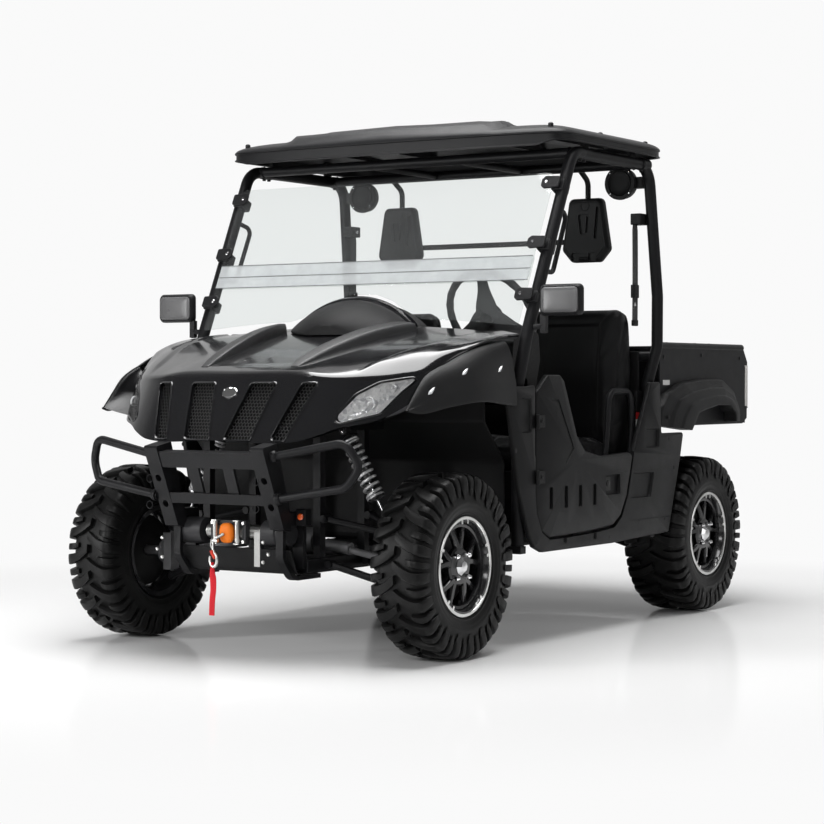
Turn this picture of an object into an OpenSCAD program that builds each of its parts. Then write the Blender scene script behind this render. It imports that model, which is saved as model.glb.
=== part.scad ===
// Two-seat side by side utility vehicle with a roof, a fold of clear windshield, half doors,
// a tipping load bed and mud tyres. The vehicle faces -Y, +X is its left side, the ground is z = 0.
// Shapes are drawn with the front axle at y = 0 and moved as a whole at the end.

/* [Overall] */
// Distance between the axles
wheelbase = 1915; // [1880:5:1960]
// Front axle to the front face of the brush guard
front_overhang = 480; // [470:1:500]
// Rear axle to the rear face of the load bed
rear_overhang = 500; // [480:1:540]
// Half width over the tyres
tyre_half = 762; // [750:1:780]
// Half width over the body side panels
body_half = 745; // [738:1:752]
// Thickness of a side panel and of a door
panel_t = 22; // [16:1:24]

/* [Wheels] */
// Radius to the tips of the tyre lugs
tyre_r = 317.5; // [300:0.5:325]
// Height of the tyre lugs
lug_h = 19; // [12:1:24]
// Lugs round one side of a tyre
lug_count = 18; // [12:1:20]
// Width of a front tyre
front_tyre_w = 205; // [190:1:215]
// Width of a rear tyre
rear_tyre_w = 254; // [230:1:262]
// Radius of the bead seat of the rim
rim_r = 152.4; // [145:0.1:158]
// Radius of the rim's outer lip
lip_r = 170; // [165:1:176]
// Radius of the spindle that carries a wheel
spindle_r = 17; // [12:1:20]
// Steering pivot of a front wheel, from the centre line
kingpin_x = 520; // [510:1:528]

/* [Frame] */
// Centre of a main rail, from the centre line
rail_x = 240; // [225:1:255]
// Width of a main rail
rail_w = 40; // [30:1:50]
// Height of a main rail
rail_h = 45; // [40:1:50]
// Underside of the main rails above the ground
rail_z = 290; // [282:1:296]
// Outer radius of the roll cage tubes
cage_r = 22.5; // [19:0.5:25]
// Centre of the cage's front post where it leaves the body, inside the body's half width
cage_inset = 16; // [13:1:21]
// Height of the centre of the cage's top tubes
cage_z = 1786; // [1770:1:1792]
// Radius of the bed's hinge pin
hinge_pin_r = 8; // [6:0.5:10]
// Running clearance of a pin in its eye
pin_fit = 0.3; // [0.2:0.1:0.5]

/* [Cab] */
// Height of the cab floor
floor_z = 366; // [362:1:376]
// Thickness of the moulded floor and walls
tub_t = 8; // [5:1:10]
// Space between the floor tub and a side panel
tub_inset = 55; // [50:1:70]
// Height of the top of the seat riser
riser_z = 600; // [560:1:620]
// Centre of a seat, from the centre line
seat_x = 434; // [428:1:436]
// Radius of the steering wheel
wheel_r = 175; // [160:1:190]
// Thickness of the windshield
glass_t = 5; // [4:0.5:6]

/* [Bed] */
// Side of the load bed, inside the body's half width
bed_inset = 45; // [40:1:65]
// Underside of the load bed
bed_z = 760; // [750:1:775]
// Height of the bed's top edge
bed_top = 1085; // [1060:1:1110]
// Thickness of the bed walls
bed_t = 22; // [16:1:28]
// Gap between the bed and what lies in front of it
bed_gap = 12; // [8:1:20]

/* [Hidden] */

length = front_overhang + wheelbase + rear_overhang;
front_axle_y = front_overhang - length / 2;
axle_z = tyre_r;
bed_rear = wheelbase + rear_overhang;
rail_top = rail_z + rail_h;
floor_under = floor_z - tub_t;
tub_half = body_half - panel_t - tub_inset;
cage_x = body_half - cage_inset;
bed_half = body_half - bed_inset;

// General shapes

function lerp(a, b, t) = a + (b - a) * t;
function unit(v) = v / norm(v);
function flat(g) = [for (row = g) each row];
function smooth(t) = t * t * (3 - 2 * t);

// Piecewise straight curve through [key, value] pairs
function curve_at(pairs, t, i = 0) =
    i >= len(pairs) - 2 || t <= pairs[i + 1][0]
    ? lerp(pairs[i][1], pairs[i + 1][1],
        max(0, min(1, (t - pairs[i][0]) / (pairs[i + 1][0] - pairs[i][0]))))
    : curve_at(pairs, t, i + 1);

// Points of a path whose inner corners are rounded to arcs of radius r, n steps each
function bend(p, r, n = 4) = [
    for (i = [0 : len(p) - 1])
        if (i == 0 || i == len(p) - 1 || norm(unit(p[i] - p[i - 1]) - unit(p[i + 1] - p[i])) < 0.03) p[i]
        else let (
            a = unit(p[i - 1] - p[i]),
            b = unit(p[i + 1] - p[i]),
            half = acos(max(-1, min(1, a * b))) / 2,
            back = min(r / tan(half), 0.48 * min(norm(p[i - 1] - p[i]), norm(p[i + 1] - p[i]))),
            rad = back * tan(half),
            centre = p[i] + unit(a + b) * rad / sin(half),
            from = p[i] + a * back - centre,
            to = p[i] + b * back - centre,
            sweep = 180 - 2 * half
        )
        each [for (k = [0 : n]) centre + (from * sin(sweep * (1 - k / n)) + to * sin(sweep * k / n))
            / sin(sweep)]
];

// Flat outline of a strip of thickness t on the left of a flat path
function ribbon(p, t) = concat(p, [
    for (i = [len(p) - 1 : -1 : 0])
        let (
            d0 = i > 0 ? unit(p[i] - p[i - 1]) : unit(p[1] - p[0]),
            d1 = i < len(p) - 1 ? unit(p[i + 1] - p[i]) : d0,
            n0 = [-d0[1], d0[0]],
            n1 = [-d1[1], d1[0]],
            m = unit(n0 + n1)
        )
        p[i] + m * t / (m * n0)
]);

// Solid skin over a stack of closed rings, its two ends closed to a middle point
module loft(rings) {
    rows = len(rings);
    cols = len(rings[0]);
    first = [for (k = [0 : 2]) [for (q = rings[0]) q[k]] * [for (q = rings[0]) 1 / cols]];
    last = [for (k = [0 : 2]) [for (q = rings[rows - 1]) q[k]] * [for (q = rings[0]) 1 / cols]];
    points = concat(flat(rings), [first, last]);
    top = rows * cols;
    sides = [for (i = [0 : rows - 2], j = [0 : cols - 1])
        let (a = i * cols + j, b = i * cols + (j + 1) % cols)
        each [[a, b + cols, a + cols], [a, b, b + cols]]];
    caps = [for (j = [0 : cols - 1])
        let (k = (j + 1) % cols, e = (rows - 1) * cols)
        each [[top, k, j], [top + 1, e + j, e + k]]];
    polyhedron(points, concat(sides, caps), convexity = 6);
}

// Closed shell between two open point grids of the same size
module shell(outer, inner) {
    rows = len(outer);
    cols = len(outer[0]);
    n = rows * cols;
    sheet = [for (i = [0 : rows - 2], j = [0 : cols - 2])
        let (a = i * cols + j)
        each [[a, a + cols + 1, a + cols], [a, a + 1, a + cols + 1],
            [n + a, n + a + cols, n + a + cols + 1], [n + a, n + a + cols + 1, n + a + 1]]];
    rims = [for (i = [0 : rows - 2])
        let (a = i * cols, b = a + cols - 1)
        each [[a, a + cols, n + a + cols], [a, n + a + cols, n + a],
            [b, n + b + cols, b + cols], [b, n + b, n + b + cols]]];
    ends = [for (j = [0 : cols - 2])
        let (a = j, b = (rows - 1) * cols + j)
        each [[a, n + a + 1, a + 1], [a, n + a, n + a + 1],
            [b, b + 1, n + b + 1], [b, n + b + 1, n + b]]];
    polyhedron(concat(flat(outer), flat(inner)), concat(sheet, rims, ends), convexity = 6);
}

// Round tube along a path; ref is a direction that no stretch of the path follows
module tube(path, r, ref = [1, 0, 0], sides = 10) {
    last = len(path) - 1;
    rings = [for (i = [0 : last])
        let (
            d = i == 0 ? unit(path[1] - path[0])
                : i == last ? unit(path[last] - path[last - 1])
                : unit(unit(path[i + 1] - path[i]) + unit(path[i] - path[i - 1])),
            s = unit(cross(ref, d)),
            w = cross(d, s)
        )
        [for (k = [0 : sides - 1]) path[i] + r * (s * cos(360 * k / sides) - w * sin(360 * k / sides))]];
    loft(rings);
}

// Straight round bar between two points
module bar(a, b, r) {
    v = b - a;
    translate(a)
        rotate([0, acos(v[2] / norm(v)), atan2(v[1], v[0])])
            cylinder(r = r, h = norm(v), $fn = 32);
}

// Box given by its low and high corners
module box(lo, hi) {
    translate(lo)
        cube(hi - lo);
}

// Flat outline in the YZ plane, extruded along X between x0 and x1
module along_x(x0, x1) {
    translate([x0, 0, 0])
        rotate([90, 0, 90])
            linear_extrude(x1 - x0)
                children();
}

// The child and its mirror image on the right-hand side
module both_sides() {
    children();
    mirror([1, 0, 0])
        children();
}

// Frame and running gear

tower_front_y = [-150, 120];
tower_rear_y = [wheelbase - 125, wheelbase + 115];
tower_w = 30;
tower_front_top = 800;
tower_rear_top = 690;
cross_y = [-200, -20, 420, 880, wheelbase - 425, wheelbase - 20, wheelbase + 205];
outrigger_y = [415, 900, 1436];
outrigger_h = 28;
seat_gap = 0.3;
bed_pivot_y = wheelbase + 235;
bed_pivot_z = bed_z - 40;
tow_hole_r = 9.5;
tow_plate_t = 10;
tow_plate_y = wheelbase + 330;
tow_hole_y = tow_plate_y - 30;
hinge_eye_t = 12;

module frame() {
    color([0.06, 0.06, 0.065])
    union() {
        both_sides()
            frame_side();
        for (y = cross_y)
            box([-rail_x, y, rail_z + 5], [rail_x, y + 40, rail_top]);
        // Tow plate on the rear cross member
        difference() {
            box([-45, cross_y[6] + 20, rail_z + 5], [45, tow_plate_y, rail_z + 5 + tow_plate_t]);
            translate([0, tow_hole_y, rail_z])
                cylinder(r = tow_hole_r, h = 40, $fn = 48);
        }
    }
}

// One side of the ladder frame: the main rail and the outriggers under the cab
module frame_side() {
    box([rail_x - rail_w / 2, -230, rail_z], [rail_x + rail_w / 2, wheelbase + 260, rail_top]);
    for (y = outrigger_y)
        box([rail_x, y, floor_under - outrigger_h], [body_half - panel_t - seat_gap, y + 40,
            floor_under - seat_gap]);
}

// Towers that stand on the rails over each axle and carry the shocks, the upper arms and the bed's hinge
module suspension_towers() {
    color([0.06, 0.06, 0.065]) {
        union() {
            both_sides()
                front_tower();
            for (y = tower_front_y)
                box([-rail_x, y, tower_front_top - tower_w], [rail_x, y + tower_w, tower_front_top]);
        }
        union() {
            both_sides()
                rear_tower();
            for (y = tower_rear_y)
                box([-rail_x, y, tower_rear_top - tower_w], [rail_x, y + tower_w, tower_rear_top]);
        }
    }
}

module front_tower() {
    x0 = rail_x - tower_w / 2;
    x1 = rail_x + tower_w / 2;
    for (y = tower_front_y)
        box([x0, y, rail_top + seat_gap], [x1, y + tower_w, tower_front_top]);
    box([x0, tower_front_y[0], tower_front_top - tower_w], [x1, 245, tower_front_top]);
    // Arm that reaches forward to the nose
    box([x0 + 5, nose_inner_y(x1, 796) + 3.9, 772], [x1 - 5, tower_front_y[0] + 1, 796]);
}

module rear_tower() {
    x0 = rail_x - tower_w / 2;
    x1 = rail_x + tower_w / 2;
    stop_y = wheelbase - 215;
    for (y = tower_rear_y)
        box([x0, y, rail_top + seat_gap], [x1, y + tower_w, tower_rear_top]);
    box([x0, stop_y, tower_rear_top - tower_w], [x1, bed_pivot_y + 20, tower_rear_top]);
    // Stop that the lowered bed rests on
    box([x0, stop_y, tower_rear_top - 1], [x1, stop_y + tower_w, bed_floor - bed_floor_t - seat_gap]);
    // Ear and pin of the bed's hinge
    box([x1 - 12, bed_pivot_y - 22, tower_rear_top - tower_w], [x1, bed_pivot_y + 22, bed_pivot_z + 20]);
    translate([x1 - 1, bed_pivot_y, bed_pivot_z])
        rotate([0, 90, 0])
            cylinder(r = hinge_pin_r, h = hinge_eye_t + 8, $fn = 48);
}

skid_t = 5;
skid_half = 250;
skid_z = rail_z - skid_t;
skid_path = bend([[-318, 372], [-276, skid_z], [-150, skid_z], [760, skid_z]], 30, 4);

module skid_plate() {
    color([0.05, 0.05, 0.055])
        along_x(-skid_half, skid_half)
            polygon(ribbon(skid_path, skid_t - seat_gap));
}

engine_half = 170;
engine_lo = [-engine_half, wheelbase - 440, rail_top + 12];
engine_hi = [engine_half, wheelbase - 150, 645];

module engine() {
    color([0.35, 0.35, 0.36])
    union() {
        box(engine_lo, engine_hi);
        for (y = [cross_y[4], engine_hi[1] - 60])
            box([-rail_x - 10, y, rail_top + seat_gap], [rail_x + 10, y + 40, rail_top + 24]);
    }
}

muffler_r = 62;
muffler_y = wheelbase + 35;
muffler_z = 560;
pipe_r = 18;

module exhaust() {
    color([0.32, 0.31, 0.30])
    union() {
        translate([-150, muffler_y, muffler_z])
            rotate([0, 90, 0])
                cylinder(r = muffler_r, h = 300, $fn = 48);
        tube([[-60, engine_hi[1] + seat_gap, muffler_z], [-60, muffler_y - muffler_r + 8, muffler_z]],
            pipe_r);
        tube(bend([[80, muffler_y + muffler_r - 8, muffler_z], [80, muffler_y + 120, muffler_z],
            [80, muffler_y + 180, muffler_z - 25]], 40), pipe_r - 2);
        box([-20, muffler_y - 15, muffler_z + muffler_r - 4], [20, muffler_y + 15,
            tower_rear_top - tower_w - 6]);
        box([-rail_x, muffler_y - 15, tower_rear_top - tower_w - 12],
            [rail_x, muffler_y + 15, tower_rear_top - tower_w - seat_gap]);
    }
}

// Suspension: two wishbones at each wheel, a coil-over shock, and a drive shaft
arm_r = 13;
arm_root_x = rail_x + rail_w / 2;
arm_root_low = rail_z + 22;
arm_root_high = 470;
front_arm_y = [-115, 115];
rear_arm_y = [wheelbase - 100, wheelbase + 130];
ball_r = 16;
ball_low_z = 228;
ball_high_z = 408;
stud_r = 7;
hub_rear_x = 500;
spindle_tip = tyre_half - 24;

// One wishbone: two tubes from the frame that meet at the point tip
module wishbone(y_pair, tip, root_z, root_x) {
    for (y = y_pair)
        tube([[root_x, y, root_z], [tip[0] - 6, tip[1] + sign(y - tip[1]) * 8, tip[2]]], arm_r, [0, 0, 1]);
}

// Bushing sleeves where a wishbone meets the frame
module bushings(y_pair, root_z, root_x) {
    for (y = y_pair)
        translate([root_x + 14, y - 20, root_z])
            rotate([-90, 0, 0])
                cylinder(r = 14 - seat_gap, h = 40, $fn = 32);
}

module suspension_arms() {
    tower_x = rail_x + tower_w / 2;
    color([0.07, 0.07, 0.07])
    both_sides() {
        union() {
            wishbone(front_arm_y, [kingpin_x, 0, ball_low_z], arm_root_low, arm_root_x + 14);
            bushings(front_arm_y, arm_root_low, arm_root_x);
            translate([kingpin_x, 0, ball_low_z])
                sphere(r = ball_r, $fn = 32);
        }
        union() {
            wishbone([for (y = tower_front_y) y + tower_w / 2], [kingpin_x, 0, ball_high_z],
                arm_root_high, tower_x + 14);
            bushings([for (y = tower_front_y) y + tower_w / 2], arm_root_high, tower_x);
            translate([kingpin_x, 0, ball_high_z])
                sphere(r = ball_r, $fn = 32);
            box([front_shock_low[0] - 18, -42, front_shock_low[2] - 28],
                [front_shock_low[0] + 18, 42, front_shock_low[2] - shock_eye_r - seat_gap]);
        }
        union() {
            wishbone(rear_arm_y, [hub_rear_x - 30, wheelbase, 235], arm_root_low, arm_root_x + 14);
            bushings(rear_arm_y, arm_root_low, arm_root_x);
            wishbone([for (y = tower_rear_y) y + tower_w / 2], [hub_rear_x - 30, wheelbase, 400],
                arm_root_high, tower_x + 14);
            bushings([for (y = tower_rear_y) y + tower_w / 2], arm_root_high, tower_x);
            box([hub_rear_x - 58, wheelbase - 26, 215], [hub_rear_x - 22, wheelbase + 26, 425]);
            translate([hub_rear_x - 23, wheelbase, axle_z])
                rotate([0, 90, 0])
                    cylinder(r = spindle_r, h = spindle_tip - hub_rear_x + 23, $fn = 48);
        }
    }
}

shock_r = 30;
shock_body_r = 16;
shock_eye_r = 14;

module shock(top, low) {
    v = unit(low - top);
    long = norm(low - top);
    spring = long * 0.80 - 60;
    union() {
        bar(top, low, 9);
        bar(top + v * 18, top + v * (long * 0.80), shock_body_r);
        bar(top + v * 24, top + v * 32, shock_r + 3);
        bar(top + v * (long * 0.80), top + v * (long * 0.80 + 8), shock_r + 3);
        for (k = [0 : 7])
            bar(top + v * (44 + k * spring / 8), top + v * (54 + k * spring / 8), shock_r);
        for (q = [top, low])
            translate(q)
                rotate([90, 0, 0])
                    cylinder(r = shock_eye_r, h = 28, center = true, $fn = 32);
    }
}

front_shock_top = [rail_x + tower_w / 2 + shock_eye_r + seat_gap, -20, 772];
front_shock_low = [kingpin_x - 76, -6, 446];
rear_shock_top = [rail_x + tower_w / 2 + shock_eye_r + seat_gap, wheelbase, 672];
rear_shock_low = [hub_rear_x - 40, wheelbase, 425 + shock_eye_r + seat_gap];

module shocks() {
    color([0.75, 0.75, 0.76])
    both_sides() {
        shock(front_shock_top, front_shock_low);
        shock(rear_shock_top, rear_shock_low);
    }
}

shaft_r = 12;
boot_r = 22;
diff_r = 46;
diff_z = rail_top + diff_r + seat_gap;

// Gearbox between the rails and the two half shafts that leave it; y is the axle, end_x the shaft's end
module axle(y, end_x) {
    union() {
        both_sides() {
            bar([120, y, diff_z], [end_x, y, axle_z], shaft_r);
            bar([rail_x - 60, y, diff_z - 11], [rail_x + 40, y, diff_z - 23], boot_r);
            bar([end_x - 60, y, axle_z + 10], [end_x - 10, y, axle_z + 2], boot_r + 4);
        }
        translate([-140, y, diff_z])
            rotate([0, 90, 0])
                cylinder(r = diff_r, h = 280, $fn = 48);
        translate([0, y - 80, diff_z])
            rotate([-90, 0, 0])
                cylinder(r = diff_r, h = 160, $fn = 48);
    }
}

module axle_shafts() {
    color([0.10, 0.10, 0.10]) {
        axle(0, kingpin_x - 30);
        axle(wheelbase, hub_rear_x - 61);
    }
}

// Steered upright between the two ball joints, with its spindle and steering arm
module knuckle() {
    union() {
        box([kingpin_x - 14, -24, ball_low_z + ball_r + 6], [kingpin_x + 22, 24, ball_high_z - ball_r - 6]);
        translate([kingpin_x, 0, ball_low_z + ball_r + seat_gap])
            cylinder(r = stud_r, h = ball_high_z - ball_low_z - 2 * ball_r - 2 * seat_gap, $fn = 32);
        translate([kingpin_x + 20, 0, axle_z])
            rotate([0, 90, 0])
                cylinder(r = 44, h = 12, $fn = 48);
        translate([kingpin_x + 20, 0, axle_z])
            rotate([0, 90, 0])
                cylinder(r = spindle_r, h = spindle_tip - kingpin_x - 20, $fn = 48);
        box([kingpin_x - 12, 20, 292], [kingpin_x + 8, 84, 310]);
    }
}

module knuckle_left() {
    color([0.16, 0.16, 0.16])
        knuckle();
}

module knuckle_right() {
    color([0.16, 0.16, 0.16])
        mirror([1, 0, 0])
            knuckle();
}

// Wheels, drawn round the Z axis with the outer face up, then turned on to their axle

rim_fit = 0.3;

// Tyre carcass and its two rows of lugs; w is the tyre's width
module tyre(w) {
    base = tyre_r - lug_h;
    h = w / 2;
    profile = [[rim_r + rim_fit, h - 34], [rim_r + 16, h - 22], [rim_r + 60, h - 6], [base - 50, h - 7],
        [base - 22, h - 18], [base - 5, h - 36], [base, h * 0.45]];
    outside = concat(profile, [for (i = [len(profile) - 1 : -1 : 0]) [profile[i][0], -profile[i][1]]]);
    union() {
        rotate_extrude($fn = 60)
            polygon(outside);
        for (side = [-1, 1], k = [0 : lug_count - 1])
            rotate([0, 0, 360 * (k + (side > 0 ? 0 : 0.5)) / lug_count])
                lug(w, side);
    }
}

// One lug: a bent bar from the middle of the tread to the shoulder, falling down the sidewall
module lug(w, side) {
    h = w / 2;
    base = tyre_r - lug_h - 6;
    pitch = 2 * PI * tyre_r / lug_count;
    bar_w = pitch * 0.36;
    // Stations: across the tread, along the tread, top radius, root radius
    stations = [[-h * 0.08, -pitch * 0.16, tyre_r, base], [h * 0.30, pitch * 0.02, tyre_r, base],
        [h * 0.78, pitch * 0.20, tyre_r - 4, base - 10], [h - 3, pitch * 0.22, tyre_r - 30, base - 34],
        [h - 0.5, pitch * 0.22, tyre_r - 52, base - 46]];
    rings = [for (s = stations)
        let (a0 = (s[1] - bar_w / 2) / tyre_r * 57.3, a1 = (s[1] + bar_w / 2) / tyre_r * 57.3,
            z = side * s[0])
        [[s[3] * cos(a0), s[3] * sin(a0), z], [s[2] * cos(a0 + 1), s[2] * sin(a0 + 1), z],
            [s[2] * cos(a1 - 1), s[2] * sin(a1 - 1), z], [s[3] * cos(a1), s[3] * sin(a1), z]]];
    loft(side > 0 ? [for (r = rings) [r[3], r[2], r[1], r[0]]] : rings);
}

disc_t = 12;

// Alloy wheel: barrel, lips, disc with five forked spokes, hub boss and cap
module rim(w) {
    h = w / 2 - 14;
    union() {
        rotate_extrude($fn = 60)
            polygon([[lip_r, h], [rim_r - 5, h - 8], [rim_r - 5, -h + 8], [lip_r, -h], [lip_r, -h + 6],
                [rim_r, -h + 13], [rim_r, h - 13], [lip_r, h - 6]]);
        translate([0, 0, h - 34])
            linear_extrude(disc_t) {
                difference() {
                    circle(r = 62, $fn = 60);
                    circle(r = spindle_r + pin_fit, $fn = 48);
                }
                for (k = [0 : 4])
                    rotate(72 * k)
                        spoke();
                difference() {
                    circle(r = rim_r - 3, $fn = 60);
                    circle(r = rim_r - 20, $fn = 60);
                }
            }
        // Hub boss round the spindle, and the closed cap
        difference() {
            translate([0, 0, h - 90])
                cylinder(r = 40, h = 60, $fn = 48);
            translate([0, 0, h - 91])
                cylinder(r = spindle_r + pin_fit, h = 85, $fn = 48);
        }
        translate([0, 0, h - 26])
            difference() {
                cylinder(r1 = 42, r2 = 30, h = 34, $fn = 48);
                translate([0, 0, -1])
                    cylinder(r = spindle_r + pin_fit, h = 25, $fn = 48);
            }
    }
}

module spoke() {
    for (s = [-1, 1])
        polygon([[50, s * 3], [rim_r - 18, s * 17], [rim_r - 6, s * 17], [rim_r - 10, s * 40],
            [rim_r - 22, s * 36], [50, s * 22]]);
}

// Turns a wheel on to the left axle; x is the middle of the tyre
module on_axle(x, y) {
    translate([x, y, axle_z])
        rotate([0, 90, 0])
            children();
}

front_wheel_x = tyre_half - front_tyre_w / 2;
rear_wheel_x = tyre_half - rear_tyre_w / 2;

module tyre_front_left() {
    color([0.03, 0.03, 0.03])
        on_axle(front_wheel_x, 0)
            tyre(front_tyre_w);
}

module rim_front_left() {
    color([0.1, 0.1, 0.1])
        on_axle(front_wheel_x, 0)
            rim(front_tyre_w);
}

module tyre_rear_left() {
    color([0.03, 0.03, 0.03])
        on_axle(rear_wheel_x, wheelbase)
            tyre(rear_tyre_w);
}

module rim_rear_left() {
    color([0.1, 0.1, 0.1])
        on_axle(rear_wheel_x, wheelbase)
            rim(rear_tyre_w);
}

module tyre_front_right() {
    mirror([1, 0, 0])
        tyre_front_left();
}

module rim_front_right() {
    mirror([1, 0, 0])
        rim_front_left();
}

module tyre_rear_right() {
    mirror([1, 0, 0])
        tyre_rear_left();
}

module rim_rear_right() {
    mirror([1, 0, 0])
        rim_rear_left();
}

// Brush guard and winch

guard_y = -front_overhang;
guard_x = 198;
guard_w = 57;
guard_d = 70;
guard_top = 722;
guard_knee = [-362, 443];
hoop_r = 14;
hoop_path = bend([[guard_x + guard_w - 4, -430, 690], [530, -398, 742], [572, -370, 662], [530, -392, 592],
    [guard_x + guard_w - 4, -405, 548]], 45, 4);
guard_leg = bend([[guard_knee[0] + 22, guard_knee[1] + 12], [-342, 340], [-276, skid_z - 20], [-120,
    skid_z - 20]], 50, 4);

module brush_guard() {
    color([0.06, 0.06, 0.06])
    union() {
        both_sides() {
            difference() {
                along_x(guard_x, guard_x + guard_w)
                    polygon([[guard_y, guard_top - 8], [guard_y + 6, guard_top],
                        [guard_y + guard_d + 10, guard_top + 14],
                        [guard_knee[0] + 46, guard_knee[1] + 30], [guard_knee[0] + 40, guard_knee[1] - 8],
                        [guard_knee[0], guard_knee[1]]]);
                for (z = [520, 610])
                    translate([guard_x + guard_w / 2, guard_y - 10, z])
                        rotate([-90, 0, 0])
                            cylinder(r = 12, h = 200, $fn = 32);
            }
            tube(hoop_path, hoop_r, [0, 1, 0]);
            along_x(guard_x + 8, guard_x + 38)
                polygon(ribbon(guard_leg, 16));
            // Bracket from the upright back to the frame
            box([rail_x - 30, -250, rail_z + 15], [rail_x + 14, -230 - seat_gap, 500]);
            box([rail_x - 30, guard_knee[0] + 30, 455], [rail_x + 14, -232, 500]);
        }
        // Cross beams and slats
        along_x(-guard_x - 1, guard_x + 1)
            polygon([[guard_y + 10, 702], [guard_y + 60, 708], [guard_y + 66, 656], [guard_y + 32, 648]]);
        along_x(-guard_x - 1, guard_x + 1)
            polygon([[-410, 560], [-372, 560], [-366, 524], [-396, 524]]);
        for (x = [-75, 75])
            along_x(x - 22, x + 22)
                polygon([[guard_y + 40, 660], [guard_y + 52, 660], [-386, 548], [-398, 548]]);
    }
}

winch_z = 425;
drum_r = 30;

module winch() {
    color([0.22, 0.22, 0.23])
    union() {
        translate([-130, -285, winch_z])
            rotate([0, 90, 0])
                cylinder(r = drum_r, h = 260, $fn = 48);
        for (x = [-130, 50])
            translate([x, -285, winch_z])
                rotate([0, 90, 0])
                    cylinder(r = 46, h = 80, $fn = 48);
        // Mounting plate on the frame and the fairlead in front
        box([-rail_x + 36, -285, rail_top + seat_gap], [rail_x - 36, -160, rail_top + 8]);
        for (x = [-45, 45]) {
            box([x - 25, -285, rail_top + 4], [x + 25, -245, winch_z]);
            box([x - 40, -332, winch_z - 36], [x - 20, -260, winch_z - 16]);
            box([x + 20, -332, winch_z - 36], [x + 40, -260, winch_z - 16]);
        }
        difference() {
            box([-75, -336, winch_z - 38], [75, -330, winch_z + 42]);
            box([-38, -340, winch_z - 22], [38, -320, winch_z + 26]);
        }
        for (x = [-47, 47])
            translate([x, -348, winch_z - 34])
                cylinder(r = 9, h = 72, $fn = 32);
        for (z = [winch_z - 34, winch_z + 34])
            box([-60, -360, z - 4], [60, -330, z + 4]);
        // Rope stub and hook
        bar([0, -310, winch_z], [-22, -372, winch_z - 20], 6);
        tube([[-22, -370, winch_z - 18], [-26, -384, winch_z - 60], [-30, -388, winch_z - 100]], 7, [0,
            1, 0.3]);
    }
}

strap_w = 24;
strap_t = 3;

module pull_strap() {
    color([0.75, 0.05, 0.06])
        translate([-30 - strap_w / 2, 0, 0])
            along_x(0, strap_w)
                polygon(ribbon(bend([[-390, winch_z - 101], [-391, 250], [-388, 142]], 60, 3), strap_t));
}

// Cab: floor tub, seat base and side panels

toe_y = 390;
riser_y = 905;
bulkhead_y = 1446;
bulkhead_top = 1060;
tub_path = bend([[255, 985], [255, 800], [toe_y, 655], [toe_y, floor_under], [bulkhead_y, floor_under],
    [bulkhead_y, bulkhead_top]], 25, 3);

module cab_tub() {
    color([0.06, 0.06, 0.06])
        along_x(-tub_half, tub_half)
            polygon(ribbon(tub_path, tub_t));
}

module seat_base() {
    color([0.07, 0.07, 0.07])
    difference() {
        box([-tub_half + 3, riser_y, floor_z + seat_gap], [tub_half - 3, bulkhead_y - 40, riser_z]);
        box([-tub_half + 3 + tub_t, riser_y + tub_t, floor_z - 10], [tub_half - 3 - tub_t,
            bulkhead_y - 40 - tub_t, riser_z - tub_t]);
    }
}

side_outline = bend([[372, 560], [440, 405], [478, 352], [540, 330], [1075, 330], [1556, 345], [1663, 643],
    [1690, bed_z - 22], [1492, bed_z - 22], [1478, 940], [1400, 940], [1254, 672], [484, 672],
    [484, 930], [430, 925], [322, 925], [300, 868]], 12, 2);
door_opening = bend([[484, 1200], [484, 553], [492, 474], [532, 401], [590, 372], [725, 372], [942, 378],
    [1090, 388], [1152, 425], [1202, 503], [1236, 606], [1254, 672], [1254, 1200]], 12, 2);

module side_panel() {
    x0 = body_half - panel_t;
    union() {
        difference() {
            along_x(x0, body_half)
                polygon(side_outline);
            along_x(x0 - 1, body_half + 1)
                polygon(door_opening);
        }
        // Fixed ears and pins of the door's hinges
        for (z = door_hinge_z) {
            translate([door_hinge_x, door_hinge_y, z - 30])
                cylinder(r = door_hinge_r, h = 60, $fn = 32);
            for (k = [z - 30, z + 19])
                translate([door_hinge_x, door_hinge_y, k]) {
                    cylinder(r = door_eye_r, h = 11, $fn = 32);
                    translate([-12, -28, 0])
                        cube([18, 28, 11]);
                }
        }
    }
}

module side_panels() {
    color([0.07, 0.07, 0.07])
        both_sides()
            side_panel();
}

door_outline = bend([[490, 868], [497, 905], [582, 966], [671, 966], [701, 944], [735, 875], [800, 742],
    [862, 685],
    [989, 663], [1200, 671], [1246, 662], [1229, 606], [1195, 503], [1146, 433], [1084, 398], [942, 388],
    [725, 381], [592, 379], [534, 407], [498, 474], [490, 553]], 14, 2);
door_hinge_y = 484;
door_hinge_x = body_half + 8.5;
door_hinge_z = [600, 800];
door_hinge_r = 5;
door_eye_r = 8;

module door() {
    union() {
        along_x(body_half - panel_t - 4, body_half - 1)
            polygon(door_outline);
        for (z = door_hinge_z)
            difference() {
                union() {
                    translate([door_hinge_x, door_hinge_y, z - 18])
                        cylinder(r = door_eye_r, h = 36, $fn = 32);
                    box([body_half - 4, door_hinge_y + 7, z - 18], [body_half + 4, door_hinge_y + 50,
                        z + 18]);
                    box([body_half + 0.5, door_hinge_y, z - 18], [body_half + 5, door_hinge_y + 50,
                        z + 18]);
                }
                translate([door_hinge_x, door_hinge_y, z - 20])
                    cylinder(r = door_hinge_r + pin_fit, h = 40, $fn = 32);
            }
    }
}

module door_left() {
    color([0.08, 0.08, 0.08])
        door();
}

module door_right() {
    color([0.08, 0.08, 0.08])
        mirror([1, 0, 0])
            door();
}

// Front body: hood, nose with its slots, mesh, lamps and flares

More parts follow.
